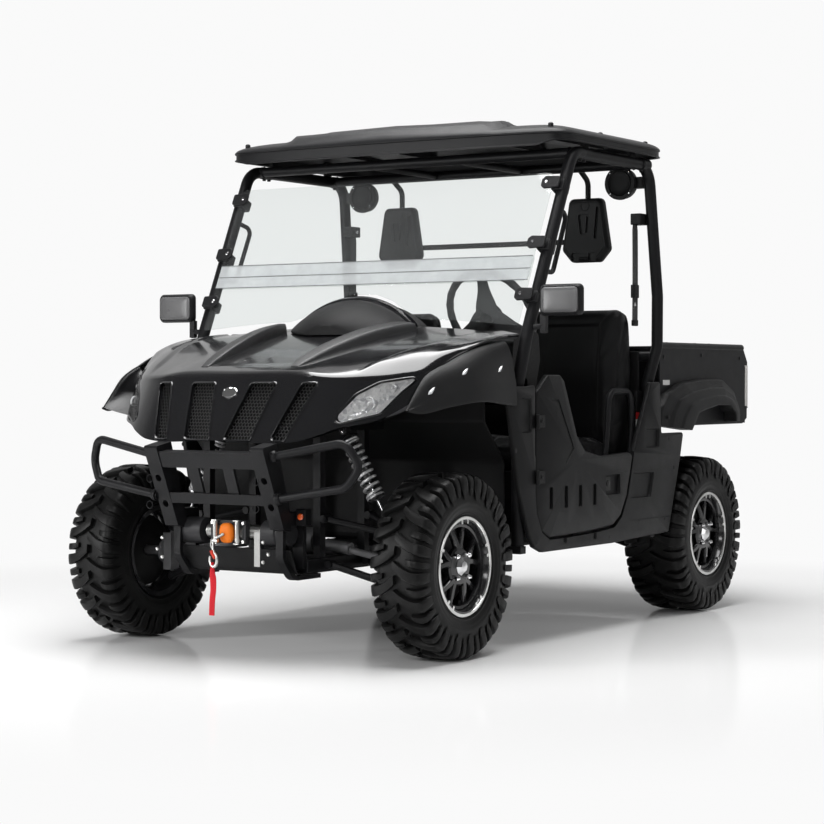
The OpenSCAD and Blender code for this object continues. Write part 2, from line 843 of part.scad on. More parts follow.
// Front face seen from above: its y at each x. It leans back towards the top.
nose_plan = [[0, -306], [100, -303], [200, -297], [300, -288], [360, -275], [430, -247], [520, -185],
    [580, -120],
    [620, -75], [650, -20]];
nose_lean = [[700, -120], [742, -100], [800, -72], [870, -36], [939, 0], [962, 12], [985, 34]];
// Lower edge of the nose and front edge of the hood at each x
nose_foot = [[0, 742], [320, 742], [400, 768], [440, 786], [540, 812], [600, 856], [645, 900]];
hood_lip = [[0, 975], [250, 972], [360, 956], [450, 952], [520, 956], [600, 968], [645, 978]];
// Border between the hood and the front flare, from the lamp to the front post: x and z at each y
wing_x = [[-227, 655], [-114, 655], [-7, 668], [92, 680], [190, 690], [330, 700], [452, 700]];
wing_z = [[-227, 852], [-160, 920], [-114, 962], [-50, 992], [-7, 1006], [92, 1042], [190, 1068], [330,
    1090], [452, 1108]];
hood_rear = 452;
hood_t = 5;
nose_t = 6;
nose_half = 645;

function nose_y(x, z) = curve_at(nose_plan, abs(x)) + curve_at(nose_lean, z);
function hood_front_y(x) = nose_y(x, curve_at(hood_lip, abs(x)));
// Crown of the hood: straight along the middle, arched along the sides; u runs to the rear and s across
function hood_height(u, s) = lerp(curve_at(hood_lip, nose_half * abs(s)), lerp(1150, 1108, s * s),
    lerp(u, sin(90 * pow(u, 0.7)), s * s)) + 14 * (1 - s * s) * sin(180 * u);

function hood_point(u, s) =
    let (
        y1 = hood_front_y(nose_half * s),
        y = lerp(y1, hood_rear, u),
        x = s * lerp(nose_half, curve_at(wing_x, y), min(1, u * 4))
    )
    [x, y, hood_height(u, s)];

function hood_grid(drop) = [for (u = [0, 0.06, 0.14, 0.24, 0.36, 0.5, 0.66, 0.83, 1])
    [for (i = [12 : -1 : -12])
        hood_point(u, i / 12) - [0, 0, drop]]];

module hood() {
    color([0.05, 0.05, 0.055])
    union() {
        shell(hood_grid(0), hood_grid(hood_t));
        both_sides()
            hood_rib();
    }
}

// Raised rib that runs back and outwards along the hood and ends in a blunt rear face.
// Stations: x, y, height over the hood and half width
rib_stations = [[194, -218, 2, 22], [198, -170, 14, 28], [210, -80, 27, 33], [228, 40, 36, 37], [250,
    170, 40, 38],
    [276, 300, 38, 37], [288, 356, 30, 34]];

module hood_rib() {
    rings = [for (q = rib_stations)
        let (
            u = (q[1] - hood_front_y(q[0])) / (hood_rear - hood_front_y(q[0])),
            z = hood_height(u, q[0] / nose_half)
        )
        [[q[0] + q[3] + 4, q[1], z - 6], [q[0] + q[3] - 8, q[1], z + q[2] - 6], [q[0] - q[3] + 8, q[1],
            z + q[2]],
            [q[0] - q[3], q[1], z - 3]]];
    loft(rings);
}

// Slots of the nose, fanned out towards the top: inner and outer edge at the foot, then at the top
slot_foot_z = 744;
slot_top_z = 939;
slots = [[31, 140, 79, 181], [222, 276, 283, 339]];

module slot_cut(q, grow, z0, z1) {
    translate([0, -100, 0])
        rotate([90, 0, 0])
            linear_extrude(400)
                polygon([[q[0] - grow, z0], [q[1] + grow, z0], [q[3] + grow, z1], [q[2] - grow, z1]]);
}

nose_rows = [0, 0.25, 0.5, 0.75, 0.9, 1];

function nose_grid(drop) = [for (v = nose_rows)
    [for (i = [12 : -1 : -12])
        let (
            x = i / 12 * nose_half,
            z = lerp(curve_at(nose_foot, abs(x)), curve_at(hood_lip, abs(x)) - hood_t - seat_gap, v)
        )
        [x, nose_y(x, z) + drop, z]]];
function nose_inner_y(x, z) = nose_y(x, z) + nose_t;

module nose() {
    color([0.05, 0.05, 0.055])
    difference() {
        shell(nose_grid(0), nose_grid(nose_t));
        both_sides() {
            for (q = slots)
                slot_cut(q, 0, slot_foot_z, slot_top_z);
            lamp_body(seat_gap);
        }
    }
}

module grille_mesh() {
    color([0.12, 0.12, 0.12])
        both_sides()
            intersection() {
                union()
                    for (q = slots)
                        slot_cut(q, 9, slot_foot_z, slot_top_z + 9);
                shell(nose_grid(nose_t + seat_gap), nose_grid(nose_t + 3));
            }
}

// Almond lamp at the corner of the nose: seen from the front it rises outwards
lamp_outline = [[439, 803], [428, 826], [470, 897], [524, 937], [588, 952], [608, 954], [578, 909],
    [544, 838]];

module lamp_body(grow) {
    middle = [for (k = [0, 1]) [for (q = lamp_outline) q[k]] * [for (q = lamp_outline) 1 /
        len(lamp_outline)]];
    translate([0, 80, 0])
        rotate([90, 0, 0])
            linear_extrude(450)
                polygon(bend([for (q = lamp_outline) q + unit(q - middle) * grow], 14, 3));
}

module headlights() {
    color([0.9, 0.92, 0.95])
        both_sides()
            intersection() {
                shell(nose_grid(-3), nose_grid(14));
                lamp_body(0);
            }
}

// Front flare: from a point beside the lamp it sweeps back over the tyre to the side panel, its top
// edge under the hood's. Its outer edge: x and z at each y
flare_x = [[-227, 662], [-160, 684], [-50, 722], [83, 757], [330, 757]];
flare_z = [[-227, 846], [-170, 838], [-50, 860], [83, 876], [280, 864], [330, 862]];
flare_rows = [-227, -200, -160, -114, -50, 20, 92, 190, 330];

function flare_grid(drop) = [for (y = flare_rows)
    let (
        top_x = curve_at(wing_x, y),
        top_z = curve_at(wing_z, y) - hood_t - seat_gap,
        out_x = curve_at(flare_x, y),
        low_z = curve_at(flare_z, y)
    )
    [for (i = [6 : -1 : 0])
        let (a = 90 * i / 6)
        [lerp(top_x, out_x, sin(a)) - drop * sin(a), y, lerp(low_z, top_z, cos(a)) - drop * cos(a)]]];

module front_flares() {
    color([0.08, 0.08, 0.08])
        both_sides() {
            shell(flare_grid(0), flare_grid(5));
            // Tab that rests on the side panel
            box([body_half + seat_gap, 312, 874], [body_half + 10, 330, 902]);
        }
}

// Dash with the gauge hood, and the steering column
column_x = 400;
column_low = [column_x, 470, 1045];
column_top = [column_x, 755, 1192];
column_dir = unit(column_top - column_low);
column_tilt = acos(column_dir[2]);

module dash() {
    color([0.07, 0.07, 0.07])
    union() {
        along_x(-tub_half, tub_half)
            polygon(bend([[300, 945], [446, 1000], [462, 1090], [560, 1128], [640, 1118], [652, 1020],
                [600, 860],
                [560, 850], [560, 960], [400, 930]], 18, 3));
        gauge_hood();
        bar(column_low - column_dir * 60, column_top - column_dir * (38 + seat_gap), 28);
        // Feet that stand on the firewall
        both_sides()
            box([tub_half - 60, 255 + tub_t + seat_gap, 920], [tub_half - 20, 420, 940]);
    }
}

// Dome over the gauges: it bulges forward over the rear of the hood, and runs back to the dash
dome_half = 262;
dome_depth = 220;
dome_rise = 98;
dome_rear = 600;

// Height of the hood's skin at x and y
function hood_z(x, y) =
    let (y1 = hood_front_y(x))
    hood_height(min(1, (y - y1) / (hood_rear - y1)), x / nose_half);

function dome_scale(y) = y < hood_rear ? sqrt(1 - pow((hood_rear - y) / dome_depth, 2)) : lerp(1, 0.8,
    (y - hood_rear) / 150);

// Section of the dome: its arch from +x to -x, then its underside, on the hood or down in the dash
function dome_ring(y, under) =
    let (w = dome_half * dome_scale(y), h = dome_rise * dome_scale(y))
    concat([for (i = [10 : -1 : -10])
        [w * i / 10, y, hood_z(w * i / 10, y) + 6 + h * pow(1 - i * i / 100, 0.9)]],
        [for (i = [-9 : 3 : 9])
            [w * i / 10, y, under > 0 ? under : hood_z(w * i / 10, y) + 4]]);

module gauge_hood() {
    loft(concat([for (v = [0.12, 0.3, 0.5, 0.75,
        1]) dome_ring(hood_rear + 4 - dome_depth * (1 - v) * 0.99, 0)],
        [for (y = [hood_rear + 6, 530, dome_rear]) dome_ring(y, 1092)]));
}

module steering_wheel() {
    color([0.03, 0.03, 0.03])
        translate(column_top)
            rotate([column_tilt * -1, 0, 0]) {
                rotate_extrude($fn = 60)
                    translate([wheel_r, 0])
                        circle(r = 14, $fn = 24);
                translate([0, 0, -38])
                    cylinder(r = 24, h = 20, $fn = 32);
                translate([0, 0, -20])
                    cylinder(r1 = 30, r2 = 48, h = 20, $fn = 32);
                for (a = [-90, 30, 150])
                    rotate([0, 0, a])
                        box([30, -13, -10], [wheel_r - 6, 13, -2]);
            }
}

// Seats: bucket with cushion and back
module pad(x0, x1, outline) {
    edge = 34;
    rings = [for (q = [[x0, 0.80], [x0 + 12, 0.93], [x0 + edge, 1], [x1 - edge, 1], [x1 - 12, 0.93],
        [x1, 0.80]])
        let (c = [for (k = [0, 1]) [for (p = outline) p[k]] * [for (p = outline) 1 / len(outline)]])
        [for (i = [len(outline) - 1 : -1 : 0])
            [q[0], c[0] + (outline[i][0] - c[0]) * q[1], c[1] + (outline[i][1] - c[1]) * q[1]]]];
    loft(rings);
}

cushion_outline = bend([[1250, riser_z + seat_gap], [1258, 700], [1180, 724], [950, 738], [905, 700],
    [915, riser_z + seat_gap]], 30, 3);
back_outline = bend([[1400, riser_z + seat_gap], [1425, 1000], [1412, 1225], [1372, 1252], [1330, 1225],
    [1282, 1000], [1264, 770], [1275, riser_z + seat_gap]], 30, 3);

module seats() {
    color([0.04, 0.04, 0.04])
        for (x = [-seat_x, seat_x]) {
            pad(x - 230, x + 230, cushion_outline);
            pad(x - 228, x + 228, back_outline);
        }
}

// Roll cage

post_low = [447, 1109];
post_high = [738, 1725];
cage_foot_x = (tub_half + body_half - panel_t) / 2 + 2;
cage_rear_y = 1330;
roof_pad_y = [900, 1280];
roof_seat_z = 1866;
cross_r = cage_r - 3;
low_bar = [1471, 1040];
// One side of the cage: foot, front post, roof rail, rear post, foot
cage_path = bend([[cage_foot_x, 438, floor_under], [cage_foot_x, 438, 930], [cage_x, post_low[0],
    post_low[1]],
    [cage_x + 8, 767, cage_z], [cage_x - 5, 900, cage_z], [cage_x - 5, 1412, cage_z], [cage_x + 6, 1470,
        1278],
    [cage_x + 2, 1476, 1078], [cage_foot_x, 1455, 930], [cage_foot_x, 1455, floor_under]], 90, 4);
// Where the side is bolted end to end: on the roof rail behind the front post, and before the rear post
cage_cuts = [lerp(cage_path[15], cage_path[16], 0.5), lerp(cage_path[20], cage_path[21], 0.9)];
cage_step = unit(cage_path[21] - cage_path[20]) * seat_gap;
cage_lengths = [concat([for (k = [0 : 15]) cage_path[k]], [cage_cuts[0] - cage_step]),
    concat([cage_cuts[0]], [for (k = [16 : 20]) cage_path[k]], [cage_cuts[1] - cage_step]),
    concat([cage_cuts[1]], [for (k = [21 : 41]) cage_path[k]])];

// The stretch of the cage's side between two points of its path
module cage_length(ends, r) {
    tube([for (k = [ends[0] : ends[1]]) cage_path[k]], r);
}

// Straight tube across the cage, saddled to the two sides; near gives the stretch of path that it meets
module cross_tube(q, near) {
    difference() {
        bar([-cage_x + 4, q[0], q[1]], [cage_x - 4, q[0], q[1]], cross_r);
        both_sides()
            cage_length(near, cage_r + seat_gap);
    }
}

module roll_cage() {
    hip_x = body_half - panel_t - 30;
    color([0.07, 0.07, 0.07]) {
        both_sides() {
            for (path = cage_lengths)
                tube(path, cage_r);
            // Grab handle on the front post
            difference() {
                tube(bend([[cage_x + 1, 660, 1578], [cage_x - 8, 752, 1552], [cage_x - 8, 650, 1338],
                    [cage_x, 548, 1338]], 25, 3), 9);
                cage_length([9, 13], cage_r + seat_gap);
            }
            // Hip bar beside the seat, on a foot at the seat riser
            union() {
                tube(bend([[hip_x, 1090, 560], [hip_x, 1120, 723], [hip_x, 1140, 905], [hip_x, 1325, 905],
                    [hip_x, 1330, 760], [hip_x, 1300, 560]], 50, 4), 12);
                box([tub_half - 3 + seat_gap, 1075, 540], [hip_x + 10, 1315, 575]);
            }
            for (y = roof_pad_y)
                box([cage_x - 20, y - 20, cage_z + cage_r + seat_gap], [cage_x - 6, y + 20,
                    roof_seat_z - seat_gap]);
        }
        cross_tube([815, cage_z], [11, 20]);
        cross_tube([cage_rear_y, cage_z], [18, 25]);
        cross_tube(low_bar, [29, 38]);
        for (x = [-200, 200])
            difference() {
                bar([x, 815, cage_z], [x, cage_rear_y, cage_z], 14);
                for (y = [815, cage_rear_y])
                    bar([x - 30, y, cage_z], [x + 30, y, cage_z], cross_r + seat_gap);
            }
    }
}

// Roof

roof_rim_z = 1819;
roof_y0 = 636;
roof_y1 = 1512;
roof_t = 8;

// Closed ring of the roof: in_x and in_y are its distances inside the outermost edge
function roof_ring(in_x, in_y, z) = [for (k = [0 : 35])
    let (
        a = 10 * k,
        cx = sign(cos(a)) * pow(abs(cos(a)), 0.15),
        cy = sign(sin(a)) * pow(abs(sin(a)), 0.15)
    )
    [(tyre_half - in_x) * cx,
        (roof_y0 + roof_y1) / 2 + ((roof_y1 - roof_y0) / 2 - in_y) * cy - 26 * (1 - cx * cx) * (cy < 0 ?
            1 : -0.5), z]];

// Distance in across and along, height of the upper skin
roof_crown = [[440, 300, 1922], [240, 200, 1916], [120, 110, 1902], [60, 60, 1890], [22, 22, 1880], [8,
    8, 1868],
    [0, 0, 1850], [0, 0, roof_rim_z]];

module roof() {
    color([0.09, 0.09, 0.095])
        loft(concat([for (q = roof_crown) roof_ring(q[0], q[1], q[2])],
            [for (k = [7 : -1 : 0])
                let (q = roof_crown[k], edge = k > 4 ? roof_t : 0)
                roof_ring(q[0] + edge + (k == 6 ? 1 : 0), q[1] + edge + (k == 6 ? 1 : 0),
                    q[2] - (k == 7 ? 0 : k > 4 ? 4 : 10))]));
}

// Windshield: a lower and an upper clear sheet that overlap on a band, held in front of the posts
post_slope = unit(post_high - post_low);
shield_out = cage_r + 6;
// Lower edge of the sheet from the post to the middle, where it arches over the gauge dome
shield_foot = [[700, 20], [560, 35], [450, 45], [300, 52], [250, 66], [200, 96], [140, 132], [60, 160]];

// Places a drawing on the plane of the front posts: X across, Y up the post, Z away from the cab
module on_posts() {
    translate([0, post_low[0], post_low[1]])
        rotate([asin(post_slope[1]), 0, 0])
            children();
}

// One sheet and the blocks that hold it to the posts; out is its distance from the posts' middle
module shield_pane(outline, out, block_s) {
    on_posts()
        union() {
            translate([0, 0, out])
                linear_extrude(glass_t)
                    polygon(outline);
            for (s = block_s, side = [-1, 1])
                translate([side * (cage_x - 8) - 26, s - 13, cage_r + seat_gap])
                    cube([52, 26, out + glass_t + 6 - cage_r]);
        }
}

module windshield() {
    color([0.8, 0.85, 0.88, 0.35]) {
        shield_pane(concat([for (q = shield_foot) [-q[0], q[1]]], [for (i = [7 : -1 : 0]) shield_foot[i]],
            [[706, 300], [-706, 300]]), shield_out, [140]);
        shield_pane([[-704, 196], [704, 196], [714, 640], [-714, 640]], shield_out + glass_t + seat_gap,
            [350, 596]);
    }
}

// Small pieces in the cab

speaker = [612, 1382, 1722];
speaker_r = 66;

module speakers() {
    color([0.08, 0.08, 0.08])
        both_sides()
            union() {
                translate(speaker)
                    rotate([-90, 0, 0])
                        cylinder(r = speaker_r, h = 58, $fn = 48);
                box([speaker[0] + 50, 1398, speaker[2] - 22], [cage_x - 5 - cage_r - seat_gap, 1436,
                    speaker[2] + 22]);
            }
}

head_x = 443;
head_y = [1405, 1450];
head_outline = bend([[-73, 1672], [73, 1672], [106, 1465], [63, 1417], [-63, 1417], [-106, 1465]], 22, 3);

// Two flat headrests that hang from the rear roof tube on bent stems, with a tie bar behind them
module headrests() {
    color([0.05, 0.05, 0.05])
        union() {
            for (x = [-head_x, head_x]) {
                head_pad(x);
                tube(bend([[x, head_y[1] - 12, 1640], [x, head_y[1] - 12, 1740], [x, cage_rear_y + 30,
                    cage_z],
                    [x, cage_rear_y + cross_r + seat_gap, cage_z]], 40, 3), 11);
            }
            bar([-head_x, head_y[1] + 6, 1503], [head_x, head_y[1] + 6, 1503], 11);
        }
}

module head_pad(x) {
    middle = 1550;
    rings = [for (q = [[head_y[0], 0.84], [head_y[0] + 8, 0.96], [head_y[0] + 20, 1], [head_y[1] - 8,
        1], [head_y[1], 0.96]])
        [for (p = head_outline) [x - p[0] * q[1], q[0], middle + (p[1] - middle) * q[1]]]];
    loft(rings);
}

module mirrors() {
    color([0.06, 0.06, 0.06])
        both_sides()
            union() {
                hull() {
                    translate([863, 462, 1230])
                        cube([170, 14, 112], center = true);
                    translate([863, 438, 1230])
                        cube([130, 6, 80], center = true);
                }
                box([778, 455, 1112], [800, 475, 1180]);
                bar([cage_x + cage_r + 1, 459, 1135], [795, 466, 1135], 10);
            }
}

module seat_belts() {
    post_x = cage_x - 1 - cage_r * cos(18) - seat_gap;
    color([0.05, 0.05, 0.05])
        both_sides()
            union() {
                box([post_x - 39, 1381, 1160], [post_x - 35, 1427, 1560]);
                box([post_x - 46, 1380, 1556], [post_x, 1446, 1600]);
            }
}

// Load bed, tailgate, flares and lamps

bed_front = wheelbase - 352;
bed_floor = 806;
bed_floor_t = 16;
bed_post_w = 52;
bed_sill_z = 771;
gate_t = 26;
gate_y0 = bed_rear - gate_t;
gate_mid_y = bed_rear - gate_t / 2;
gate_pivot_z = 792;
gate_pin_r = 6;
gate_half = bed_half - bed_post_w - 4;
lamp_z = [826, 1014];

module bed() {
    wall = bed_half - bed_t;
    color([0.10, 0.10, 0.105])
    union() {
        difference() {
            along_x(-bed_half, bed_half)
                polygon([[bed_front, bed_z], [bed_rear - 52, bed_z], [bed_rear - 8, bed_z + 24],
                    [bed_rear - 4, bed_z + 266],
                    [bed_rear - 46, bed_top], [bed_front, bed_top]]);
            for (side = [-1, 1])
                translate([side * (bed_half - 22) - 30, bed_rear - 34 - seat_gap, lamp_z[0] - seat_gap])
                    cube([60, 80, lamp_z[1] - lamp_z[0] + 2 * seat_gap]);
            box([-wall, bed_front + bed_t, bed_floor], [wall, bed_rear - 75, bed_top + 10]);
            box([-bed_half + bed_post_w, bed_rear - 80, bed_floor], [bed_half - bed_post_w,
                bed_rear + 50, bed_top + 10]);
            box([-wall, bed_front + bed_t, bed_z - 10], [wall, bed_rear - 60, bed_floor - bed_floor_t]);
            box([-bed_half + bed_post_w, gate_y0 - 6, bed_sill_z], [bed_half - bed_post_w,
                bed_rear + 50, bed_floor + 30]);
        }
        both_sides()
            bed_side();
    }
}

// What stands on one side of the bed: the rolled top rail, the hinge bracket and the gate's pin
module bed_side() {
    bracket_x = rail_x + tower_w / 2 + 3;
    translate([bed_half - bed_t / 2, bed_front, bed_top])
        rotate([-90, 0, 0])
            cylinder(r = bed_t / 2 + 4, h = bed_rear - 48 - bed_front, $fn = 32);
    difference() {
        box([bracket_x, bed_pivot_y - 24, bed_pivot_z - 22],
            [bracket_x + hinge_eye_t, bed_pivot_y + 24, bed_floor - bed_floor_t + 5]);
        translate([bracket_x - 5, bed_pivot_y, bed_pivot_z])
            rotate([0, 90, 0])
                cylinder(r = hinge_pin_r + pin_fit, h = hinge_eye_t + 10, $fn = 48);
    }
    translate([gate_half - 24, gate_mid_y, gate_pivot_z])
        rotate([0, 90, 0])
            cylinder(r = gate_pin_r, h = 32, $fn = 32);
}

module tailgate() {
    color([0.10, 0.10, 0.105])
    difference() {
        union() {
            box([-gate_half, gate_y0, gate_pivot_z], [gate_half, bed_rear, bed_z + 290]);
            translate([-gate_half, gate_mid_y, gate_pivot_z])
                rotate([0, 90, 0])
                    cylinder(r = gate_t / 2, h = 2 * gate_half, $fn = 32);
        }
        for (side = [-1, 1])
            translate([side * (gate_half - 10) - 20, gate_mid_y, gate_pivot_z])
                rotate([0, 90, 0])
                    cylinder(r = gate_pin_r + pin_fit, h = 40, $fn = 32);
    }
}

// Flare of the rear wheel: an arch that stands out from the bed side
arch_outer = bend([[-425, 767], [-398, 841], [-335, 895], [-199, 936], [-11, 952],
    [165, 953], [285, 902], [347, 821], [347, 775]], 30, 3);
arch_inner = bend([[253, 775], [247, 812], [197, 843], [87, 846], [-100, 818], [-170, 745]], 20, 3);

module bed_flares() {
    color([0.08, 0.08, 0.08])
        both_sides()
            translate([0, wheelbase, 0])
                along_x(bed_half + seat_gap, tyre_half - 2)
                    polygon(concat(arch_outer, arch_inner));
}

module tail_lights() {
    color([0.8, 0.1, 0.08])
        both_sides()
            box([bed_half - bed_post_w + seat_gap, bed_rear - 34, lamp_z[0]], [bed_half + 2, bed_rear,
                lamp_z[1]]);
}

// The vehicle, moved so that its middle is at the origin

module place() {
    translate([0, front_axle_y, 0])
        children();
}

place() frame();
place() suspension_towers();
place() skid_plate();
place() cab_tub();
place() side_panels();
place() hood();
place() nose();
place() grille_mesh();
place() headlights();
place() front_flares();
place() brush_guard();
place() winch();
place() pull_strap();
place() dash();
place() steering_wheel();
place() seat_base();
place() seats();
place() headrests();
place() engine();
place() exhaust();
place() roll_cage();
place() roof();
place() windshield();
place() speakers();
place() mirrors();
place() suspension_arms();
place() shocks();
place() axle_shafts();
place() seat_belts();
place() knuckle_left();
place() knuckle_right();
place() tyre_front_left();
place() rim_front_left();
place() tyre_front_right();
place() rim_front_right();
place() tyre_rear_left();
place() rim_rear_left();
place() tyre_rear_right();
place() rim_rear_right();
place() door_left();
place() door_right();
place() bed();
place() bed_flares();
place() tail_lights();
place() tailgate();
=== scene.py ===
import math

import bmesh
import bpy
import numpy as np
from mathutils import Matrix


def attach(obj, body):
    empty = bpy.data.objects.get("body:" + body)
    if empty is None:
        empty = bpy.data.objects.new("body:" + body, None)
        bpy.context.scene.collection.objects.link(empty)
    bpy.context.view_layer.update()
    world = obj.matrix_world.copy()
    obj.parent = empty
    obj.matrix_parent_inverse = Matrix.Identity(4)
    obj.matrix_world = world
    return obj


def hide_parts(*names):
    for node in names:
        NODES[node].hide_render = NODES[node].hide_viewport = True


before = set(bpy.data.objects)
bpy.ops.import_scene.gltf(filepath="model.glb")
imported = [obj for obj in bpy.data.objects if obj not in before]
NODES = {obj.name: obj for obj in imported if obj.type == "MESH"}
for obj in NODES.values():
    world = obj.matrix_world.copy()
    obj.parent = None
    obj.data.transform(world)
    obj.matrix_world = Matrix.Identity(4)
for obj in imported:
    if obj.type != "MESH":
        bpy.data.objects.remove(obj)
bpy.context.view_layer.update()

# ---------------------------------------------------------------- Studio
# The vehicle stands on a pale floor in front of a white wall, lit by soft panels overhead and at its sides.
# The camera stands low and a little to the vehicle's left of the front, with a long lens.
scene = bpy.context.scene
scene.view_settings.view_transform = "Standard"

camera_data = bpy.data.cameras.new("camera")
camera_data.sensor_width = 36
camera_data.lens = 95.12
camera_data.clip_end = 100
camera = bpy.data.objects.new("camera", camera_data)
camera.location = (4.5723, -7.2300, 0.9446)
camera.rotation_euler = (math.radians(90 - 0.82), 0, math.radians(32.82))
scene.collection.objects.link(camera)
scene.camera = camera

PALE = (0.86, 0.86, 0.86)
ground_mesh = bpy.data.meshes.new("ground")
ground_mesh.from_pydata([(-30, -30, 0), (30, -30, 0), (30, 30, 0), (-30, 30, 0)], [], [(0, 1, 2, 3)])
ground = bpy.data.objects.new("ground", ground_mesh)
scene.collection.objects.link(ground)


def node(tree, kind, **values):
    """Adds one shader node and sets its fields and input sockets by name."""
    n = tree.nodes.new(kind)
    for key, value in values.items():
        if hasattr(n, key):
            setattr(n, key, value)
        else:
            n.inputs[key.replace("_", " ")].default_value = value
    return n


floor_look = bpy.data.materials.new("pale_floor")
floor_look.use_nodes = True
tree = floor_look.node_tree
tree.nodes.clear()
out = node(tree, "ShaderNodeOutputMaterial")
matt = node(tree, "ShaderNodeBsdfDiffuse", Color=(*PALE, 1))
mirror_like = node(tree, "ShaderNodeBsdfGlossy", Color=(1, 1, 1, 1), Roughness=0.10)
near = node(tree, "ShaderNodeMixShader")
near.inputs["Fac"].default_value = 0.22
white = node(tree, "ShaderNodeEmission", Strength=0.955)
place = node(tree, "ShaderNodeTexCoord")
reach = node(tree, "ShaderNodeVectorMath", operation="LENGTH")
fade = node(tree, "ShaderNodeMapRange", interpolation_type="SMOOTHSTEP")
fade.inputs["From Min"].default_value = 1.5
fade.inputs["From Max"].default_value = 3.6
ray = node(tree, "ShaderNodeLightPath")
seen = node(tree, "ShaderNodeMath", operation="MULTIPLY")
mix = node(tree, "ShaderNodeMixShader")
link = tree.links.new
link(place.outputs["Object"], reach.inputs[0])
link(reach.outputs["Value"], fade.inputs["Value"])
link(fade.outputs["Result"], seen.inputs[0])
link(ray.outputs["Is Camera Ray"], seen.inputs[1])
link(matt.outputs["BSDF"], near.inputs[1])
link(mirror_like.outputs["BSDF"], near.inputs[2])
link(seen.outputs["Value"], mix.inputs["Fac"])
link(near.outputs["Shader"], mix.inputs[1])
link(white.outputs["Emission"], mix.inputs[2])
link(mix.outputs["Shader"], out.inputs["Surface"])
ground_mesh.materials.append(floor_look)

# The wall behind the vehicle is white, and the side of the studio where the camera stands is dark
world = bpy.data.worlds.new("studio")
scene.world = world
world.use_nodes = True
tree = world.node_tree
tree.nodes.clear()
link = tree.links.new
out = node(tree, "ShaderNodeOutputWorld")
soft = node(tree, "ShaderNodeBackground", Color=(1, 1, 1, 1))
bright = node(tree, "ShaderNodeBackground", Color=(1, 1, 1, 1), Strength=0.955)
heading = node(tree, "ShaderNodeTexCoord")
away = node(tree, "ShaderNodeVectorMath", operation="DOT_PRODUCT")
away.inputs[1].default_value = (-0.54, 0.84, 0)
wall = node(tree, "ShaderNodeMapRange", interpolation_type="SMOOTHSTEP")
for key, value in (("From Min", 0.1), ("From Max", 0.75), ("To Min", 0.11), ("To Max", 0.55)):
    wall.inputs[key].default_value = value
ray = node(tree, "ShaderNodeLightPath")
seen = node(tree, "ShaderNodeMath", operation="MAXIMUM")
mix = node(tree, "ShaderNodeMixShader")
link(heading.outputs["Generated"], away.inputs[0])
link(away.outputs["Value"], wall.inputs["Value"])
link(wall.outputs["Result"], soft.inputs["Strength"])
link(ray.outputs["Is Camera Ray"], seen.inputs[0])
link(ray.outputs["Is Transmission Ray"], seen.inputs[1])
link(seen.outputs["Value"], mix.inputs["Fac"])
link(soft.outputs["Background"], mix.inputs[1])
link(bright.outputs["Background"], mix.inputs[2])
link(mix.outputs["Shader"], out.inputs["Surface"])

for name, spot, aim, size, power in (
        ("overhead", (0.1, -0.2, 4.8), (0, 0.2, 0), (3.8, 3.8), 320),
        ("front_panel", (1.2, -6.0, 2.6), (0, -0.8, 0.7), (4.0, 0.9), 85),
        ("front_strip", (-2.6, -4.6, 1.6), (0, -0.9, 0.8), (0.35, 2.4), 90),
        ("side_panel", (5.6, 0.6, 2.4), (0.4, 0, 0.7), (4.2, 1.4), 24)):
    panel = bpy.data.lights.new(name, "AREA")
    panel.shape = "RECTANGLE"
    panel.size, panel.size_y = size
    panel.energy = power
    lamp = bpy.data.objects.new(name, panel)
    lamp.location = spot
    way = np.array(aim) - np.array(spot)
    lamp.rotation_euler = (math.atan2(math.hypot(way[0], way[1]), -way[2]), 0, math.atan2(way[1], way[0]) - math.pi / 2)
    scene.collection.objects.link(lamp)


# ---------------------------------------------------------------- Frame, towers and roll cage
# Welded steel tube and box section, hung on a line and powder coated satin black.
# The cage's lengths are bent tube, joined by sleeves and bolts; its cross tubes are saddled and welded.
AXLE = -0.9675
STEEL_BLACK = (0.009, 0.009, 0.010)


